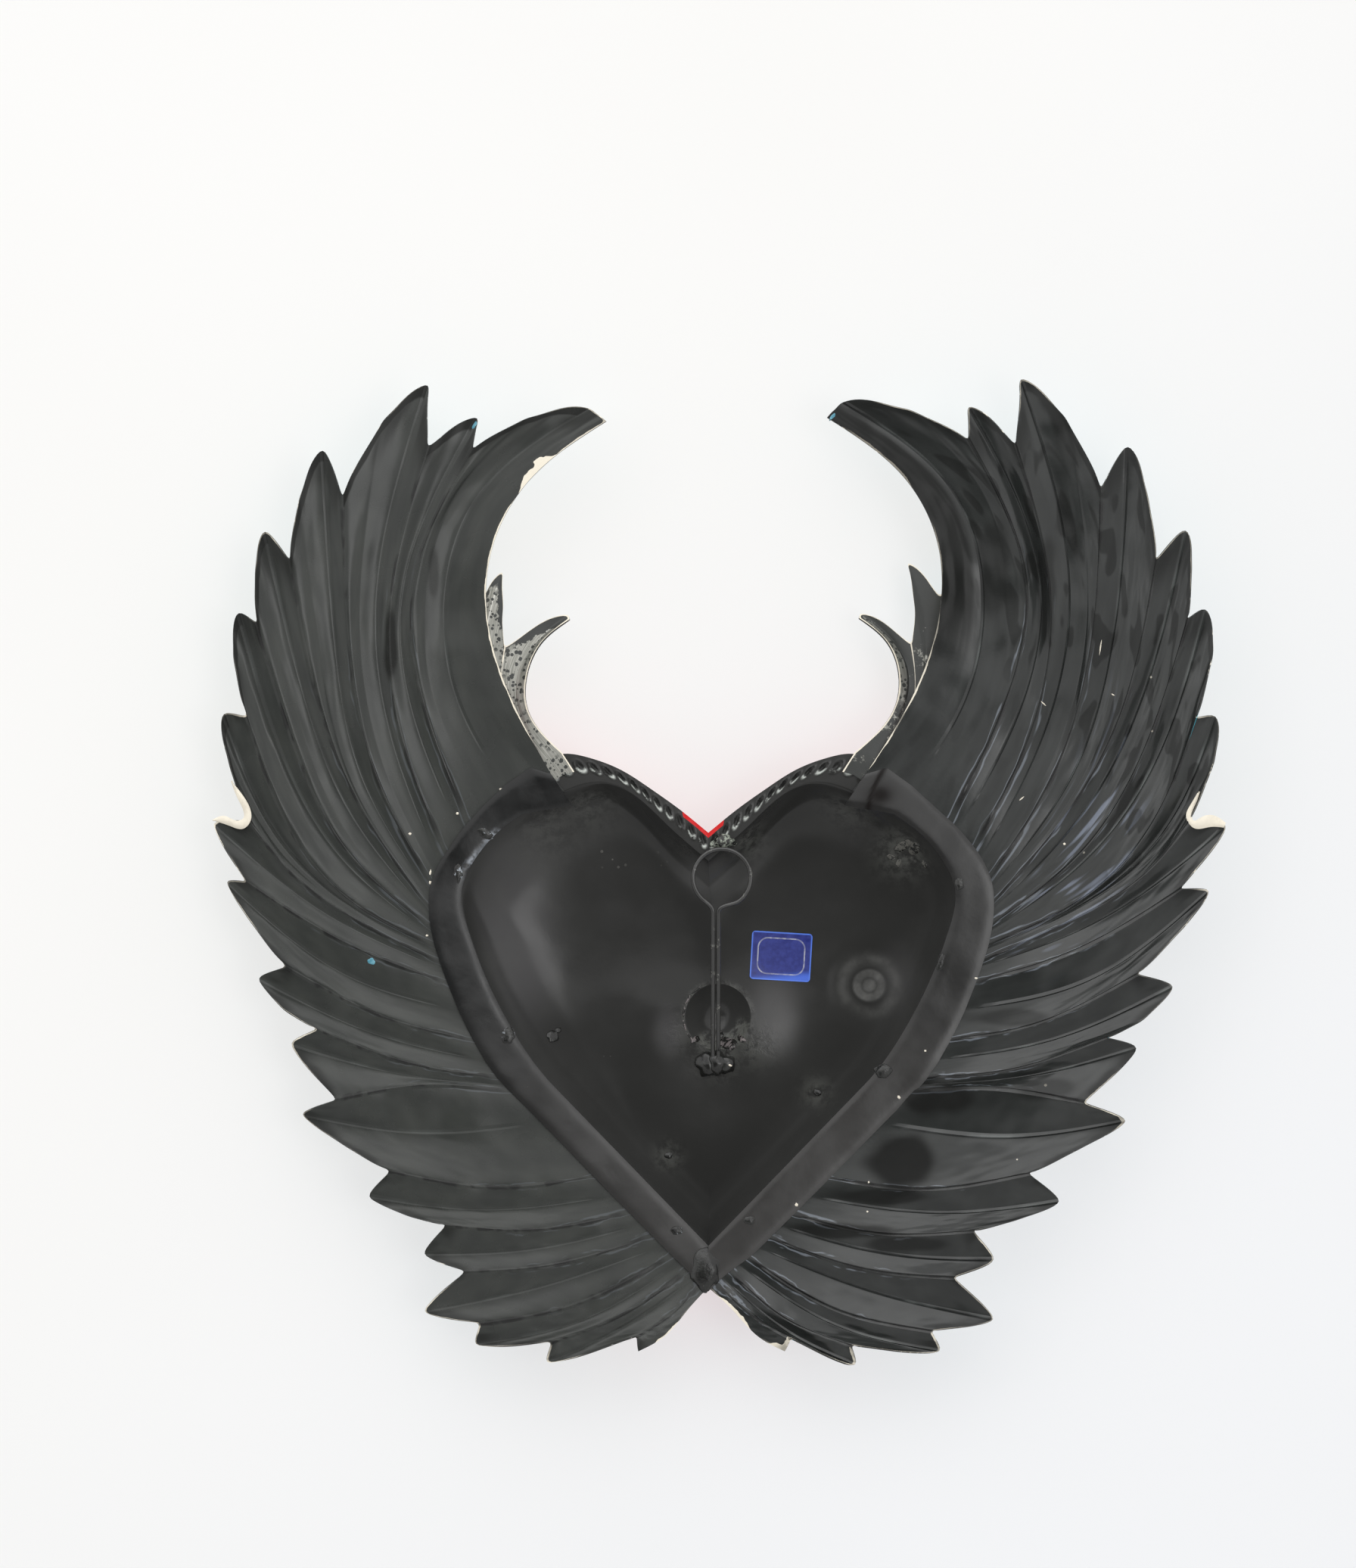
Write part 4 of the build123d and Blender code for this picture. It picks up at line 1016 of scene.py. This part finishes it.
# Solder and paint drops
def lump(ground, place, radii, turned, height, seed, rows=14, around=32):
    """Irregular drop that lies on a surface, as points and faces."""
    verts = []
    cos_turned, sin_turned = math.cos(math.radians(turned)), math.sin(math.radians(turned))
    for r in range(rows):
        lift = r / (rows - 1) * math.pi / 2
        for c in range(around):
            turn = 2 * math.pi * c / around
            wave = Vector((math.cos(turn) * math.cos(lift), math.sin(turn) * math.cos(lift), math.sin(lift)))
            rough = 1 + 0.3 * noise.noise(wave * 1.4 + Vector((seed, 0, 0))) + 0.05 * noise.noise(wave * 4.5)
            spread = math.cos(lift) * rough
            a, b = radii[0] * spread * math.cos(turn), radii[1] * spread * math.sin(turn)
            x = place[0] + a * cos_turned - b * sin_turned
            z = place[1] + a * sin_turned + b * cos_turned
            verts.append((x, ground(x, z) - DROP_SEAT + height * math.sin(lift) * (0.8 + 0.2 * rough), z))
    faces = grid_faces(rows - 1, around, closed=True)
    top = len(verts) - around
    last = top - around
    faces += [(last + c, last + (c + 1) % around, top) for c in range(around)]
    faces.append(tuple(range(around))[::-1])
    return verts[:top + 1], faces


def drops_piece(name, ground, drops, replaced, material):
    """Drops on one surface: place, half sizes, turn in degrees and height of each."""
    verts, faces = [], []
    for seed, (place, radii, turned, height) in enumerate(drops):
        v, f = lump(ground, place, radii, turned, height, seed * 3.7 + len(name))
        faces += [tuple(i + len(verts) for i in face) for face in f]
        verts += v
    return make_piece(name, verts, faces, replaced, [material], smooth_angle=80)


dark_solder = solder_paint("solder_spray", 0.1)
crust_solder = solder_paint("solder_crust", 0.75)
foot = drops_piece("foot_lumps", heart_ground,
                   [((3.9, -55.3), (3.6, 4.0), 0, 2.3), ((-1.0, -55.3), (3.0, 3.0), 0, 2.3),
                    ((1.5, -55.0), (3.0, 3.6), 0, 2.9)],
                   ["hanger_foot_solder"], solder_paint("foot_solder", 0.0, grain=0.12))
# Painted highlight: a pale drop on the foot solder where it catches the light.
drops_piece("foot_glint", ground_of(foot), [((-2.5, -55.6), (0.6, 0.35), 20, 0.1)],
            None, cream_paint)
drops_piece("notch_crust", heart_ground,
            [((-0.4, 10.9), (2.7, 2.2), 0, 1.9), ((2.0, 10.2), (1.7, 1.0), -20, 0.9),
             ((-3.0, 10.6), (1.6, 1.0), 25, 0.9)],
            ["notch_solder"], crust_solder)
drops_piece("tip_lump", lambda x, z: 0.2, [((4.6, -115.4), (4.3, 6.0), 0, 1.9)],
            ["tip_solder"], dark_solder)
# The right tacks carry a pale share that stands for painted glints.
drops_piece("tacks_right", ground_of(strips[1]),
            [((77.8, 1.6), (1.3, 2.8), 0, 0.5), ((69.6, 13), (2.6, 1.4), 35, 0.5),
             ((63, -46.5), (2.0, 2.6), 20, 0.6), ((13.4, -104), (1.8, 1.3), 0, 0.5)],
            ["strip_tacks_right"], solder_paint("tack_solder_painted_glints", 0.5, (150, 156, 162)))
drops_piece("tacks_left", ground_of(strips[-1]),
            [((-70, -1.8), (1.2, 2.0), 0, 0.5), ((-64.5, -24.8), (1.0, 3.0), 15, 0.5),
             ((-47.5, -57), (2.6, 2.0), -20, 0.9), ((-8, -101), (1.7, 1.2), 0, 0.5)],
            ["strip_tacks_left"], dark_solder)
drops_piece("dome_drops", heart_ground,
            [((50, -47), (1.6, 1.9), 0, 0.8), ((48.4, -45.2), (0.9, 0.9), 0, 0.5),
             ((-28.3, -63.6), (1.3, 1.0), 20, 0.6), ((15.8, -82.4), (1.2, 0.9), 0, 0.5)],
            None, dark_solder)
drops_piece("dome_crust", heart_ground,
            [((-53.6, 9.4), (2.6, 1.4), -30, 0.6), ((-57.0, 8.6), (1.5, 2.1), 20, 0.5),
             ((-60.0, 3.9), (1.3, 0.6), 55, 0.4), ((-50.2, 6.0), (1.3, 0.7), 30, 0.3),
             ((-52.4, 4.4), (0.7, 1.2), 20, 0.3)],
            None, solder_paint("dome_flux", 0.85, (92, 91, 86)))
hole_ring = [((HOLE_X + 10.2 * math.cos(turn), HOLE_Z + 10.2 * math.sin(turn)), (0.4, 2.2),
              math.degrees(turn), 0.9) for turn in np.radians([-38, -15, 8, 30, 50])]
drops_piece("hollow_crust", ground_of(boss),
            hole_ring + [((0.4, -46.6), (0.9, 0.9), 0, 0.9), ((-2.0, -49.2), (2.6, 1.9), 15, 1.3),
                         ((-6.0, -48.0), (1.6, 1.0), 40, 1.0), ((8.0, -48.3), (1.8, 0.9), -35, 0.9)],
            None, solder_paint("hollow_flux", 0.7, (118, 111, 111)))
drops_piece("flecks_right", ground_of(wings["right"]),
            [((92, 13), (0.5, 0.4), 0, 0.15), ((86, 1.6), (0.3, 0.8), 10, 0.15),
             ((86, -1.4), (0.4, 0.5), 0, 0.15), ((78, 19), (0.4, 0.4), 0, 0.15),
             ((87, -17), (0.4, 0.3), 0, 0.15), ((65, 26), (0.6, 0.5), 30, 0.15)],
            None, cream_paint)
drops_piece("flecks_left", ground_of(wings["left"]),
            [((-111.6, 68), (0.2, 2.4), 8, 0.12), ((-115.3, 54), (0.6, 0.2), 30, 0.12),
             ((-94.8, 51.4), (1.1, 0.2), 40, 0.12), ((-101, 10), (0.4, 0.4), 0, 0.15),
             ((-88.4, 23.4), (0.9, 0.2), -40, 0.12), ((-43.3, -89.7), (0.3, 0.3), 0, 0.12),
             ((-42.9, -98.4), (0.3, 0.3), 0, 0.12)],
            None, cream_paint)
drops_piece("flecks_strip", ground_of(strips[-1]),
            [((-52.2, -64.7), (0.6, 0.45), 45, 0.15), ((-22, -96.4), (0.5, 0.5), 0, 0.15),
             ((-60, -51), (0.35, 0.3), 0, 0.12), ((-75, -29.6), (0.5, 0.3), 10, 0.12)],
            None, cream_paint)
fleck_enamel = bright_enamel("fleck_enamel")
drops_piece("fleck_blue_right", ground_of(wings["right"]),
            [((103.4, -24.6), (1.2, 0.9), 20, 0.2), ((72.9, 133.4), (0.5, 1.2), 30, 0.15)],
            None, fleck_enamel)
drops_piece("fleck_blue_left", ground_of(wings["left"]),
            [((-32.6, 135.9), (0.5, 1.3), 40, 0.15)],
            None, fleck_enamel)


# Label
def label_piece(material):
    """Paper label with round corners that lifts a little at its edges."""
    half_wide, half_high = LABEL_SIZE[0] / 2, LABEL_SIZE[1] / 2
    x, z = np.meshgrid(np.linspace(-half_wide, half_wide, 46), np.linspace(-half_high, half_high, 38))
    dx = np.maximum(np.abs(x) - (half_wide - LABEL_CORNER), 0)
    dz = np.maximum(np.abs(z) - (half_high - LABEL_CORNER), 0)
    reach = np.hypot(dx, dz)
    pull = np.where(reach > LABEL_CORNER, LABEL_CORNER / np.maximum(reach, 1e-6), 1.0)
    cornered = (dx > 0) & (dz > 0)
    x = np.where(cornered, np.sign(x) * (half_wide - LABEL_CORNER + dx * pull), x)
    z = np.where(cornered, np.sign(z) * (half_high - LABEL_CORNER + dz * pull), z)
    round_frame = np.hypot(np.maximum(np.abs(x) - FRAME_HALF[0], 0), np.maximum(np.abs(z) - FRAME_HALF[1], 0))
    border = np.minimum(half_wide - np.abs(x), half_high - np.abs(z))
    low_edge = ease(z + 0.15 * x, -4.5, -7)
    lift = 0.1 + 0.35 * ease(x - z, 8, 16) + 0.2 * ease(z - x, 10, 16)
    low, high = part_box("sticker")
    middle = (Vector(low) + Vector(high)) / 2 / MM
    cos_tilt, sin_tilt = math.cos(math.radians(LABEL_TILT)), math.sin(math.radians(LABEL_TILT))
    place_x = middle.x + x * cos_tilt + z * sin_tilt
    place_z = middle.z - x * sin_tilt + z * cos_tilt
    floor = np.array([heart_ground(a, b) for a, b in zip(place_x.ravel(), place_z.ravel())]).reshape(x.shape)
    grid = np.stack([place_x, floor + lift, place_z], axis=-1)
    layers = {"frame": round_frame, "border": border, "low": low_edge}
    sheet_piece("label_skin", grid, ["sticker"], [material] * 3, layers, thickness=LABEL_SHEET)


label_piece(label_paper("label_print"))


# Solids that keep their shape
def repaint(node, material):
    """Gives a solid one material in place of its own."""
    node.data.materials.clear()
    node.data.materials.append(material)


repaint(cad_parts["hanger_wire"], wire_black("wire_spray"))


# Studio, in metres
def studio_floor():
    """Pale table under the face of the object; it shows only from the side that the object lies on."""
    low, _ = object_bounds()
    half = 3.0
    corners = [(-half, low.y, -half), (-half, low.y, half), (half, low.y, half), (half, low.y, -half)]
    mesh = bpy.data.meshes.new("table")
    mesh.from_pydata(corners, [], [(0, 1, 2, 3)])
    table = bpy.data.objects.new("table", mesh)
    bpy.context.collection.objects.link(table)
    table.visible_shadow = False
    table.visible_diffuse = False
    g = Graph("table_white")
    colour = g.mix(g.patches(3.0, 2.0, 0.3, 0.7), rgb(236, 236, 234), rgb(240, 240, 239))
    mesh.materials.append(g.done(Base_Color=colour, Roughness=0.7))
    tint = g.mix(g.ramp(g.plus(*g.spot()), -0.3, 0.25), rgb(246, 248, 252), rgb(255, 254, 252))
    paper = g.add("ShaderNodeEmission", {"Color": tint}).outputs[0]
    seen = g.times(g.add("ShaderNodeLightPath").outputs["Is Camera Ray"], 0.54)
    painted = g.tree.nodes["Principled BSDF"].outputs[0]
    top = g.add("ShaderNodeMixShader", {0: seen, 1: painted, 2: paper}).outputs[0]
    clear = g.add("ShaderNodeBsdfTransparent").outputs[0]
    seen_behind = g.add("ShaderNodeNewGeometry").outputs["Backfacing"]
    surface = g.add("ShaderNodeMixShader", {0: seen_behind, 1: top, 2: clear}).outputs[0]
    g.put(g.tree.nodes["Material Output"].inputs["Surface"], surface)


def studio_world():
    """Soft room light: paler from above, dim where the camera stands over the object, and one window."""
    g = Graph("studio", bpy.data.worlds.new("studio"))
    bpy.context.scene.world = g.owner
    way = g.coordinates["Generated"]

    def toward(direction):
        sockets = {0: way, 1: Vector(direction).normalized()}
        return g.add("ShaderNodeVectorMath", sockets, operation="DOT_PRODUCT").outputs["Value"]
    height = g.add("ShaderNodeSeparateXYZ", {0: way}).outputs["Z"]
    over = g.ramp(toward((0.25, 0.96, 0.0)), 0.79, 0.95, 1.15, 0.1)
    pane = g.ramp(toward((-0.36, 0.93, -0.06)), 0.965, 0.995, 0.0, 2.2)
    room = g.math("MULTIPLY_ADD", g.ramp(height, -0.8, 0.6, 0.55, 1.0), over, pane)
    seen = g.add("ShaderNodeLightPath").outputs["Is Camera Ray"]
    level = g.add("ShaderNodeMix", {0: seen, 2: room, 3: 0.94}).outputs[0]
    sky = g.tree.nodes["Background"]
    g.put(sky.inputs["Strength"], level)
    g.put(sky.inputs["Color"], (1.0, 1.0, 1.0, 1.0))


def soft_lamp(name, place, aim, size, power):
    """Square lamp of a size and power, turned from its place to what it lights."""
    lamp = bpy.data.lights.new(name, "AREA")
    lamp.size = size
    lamp.energy = power
    obj = bpy.data.objects.new(name, lamp)
    obj.location = place
    obj.rotation_mode = "QUATERNION"
    obj.rotation_quaternion = (Vector(aim) - Vector(place)).to_track_quat("-Z", "Y")
    bpy.context.collection.objects.link(obj)


def photo_camera():
    """Camera straight over the back, framed as the photograph."""
    data = bpy.data.cameras.new("photo_camera")
    data.sensor_width = 36.0
    data.lens = data.sensor_width * CAMERA_DISTANCE / (PICTURE[1] * PIXEL)
    camera = bpy.data.objects.new("photo_camera", data)
    x = (RING_PIXEL[0] - PICTURE[0] / 2) * PIXEL
    z = (RING_PIXEL[1] - PICTURE[1] / 2) * PIXEL
    camera.location = Vector((x, CAMERA_DISTANCE, z)) * MM
    camera.rotation_euler = (math.radians(90), 0, math.radians(180))
    data.clip_end = 100
    bpy.context.collection.objects.link(camera)
    bpy.context.scene.camera = camera


studio_floor()
studio_world()
soft_lamp("key", (0.3, 1.3, 0.8), (0, 0, 0), 1.9, 11.0)
soft_lamp("front_fill", (0.4, -1.2, 0.9), (0, 0, 0), 1.0, 3.0)
photo_camera()
bpy.context.scene.view_settings.view_transform = "Standard"
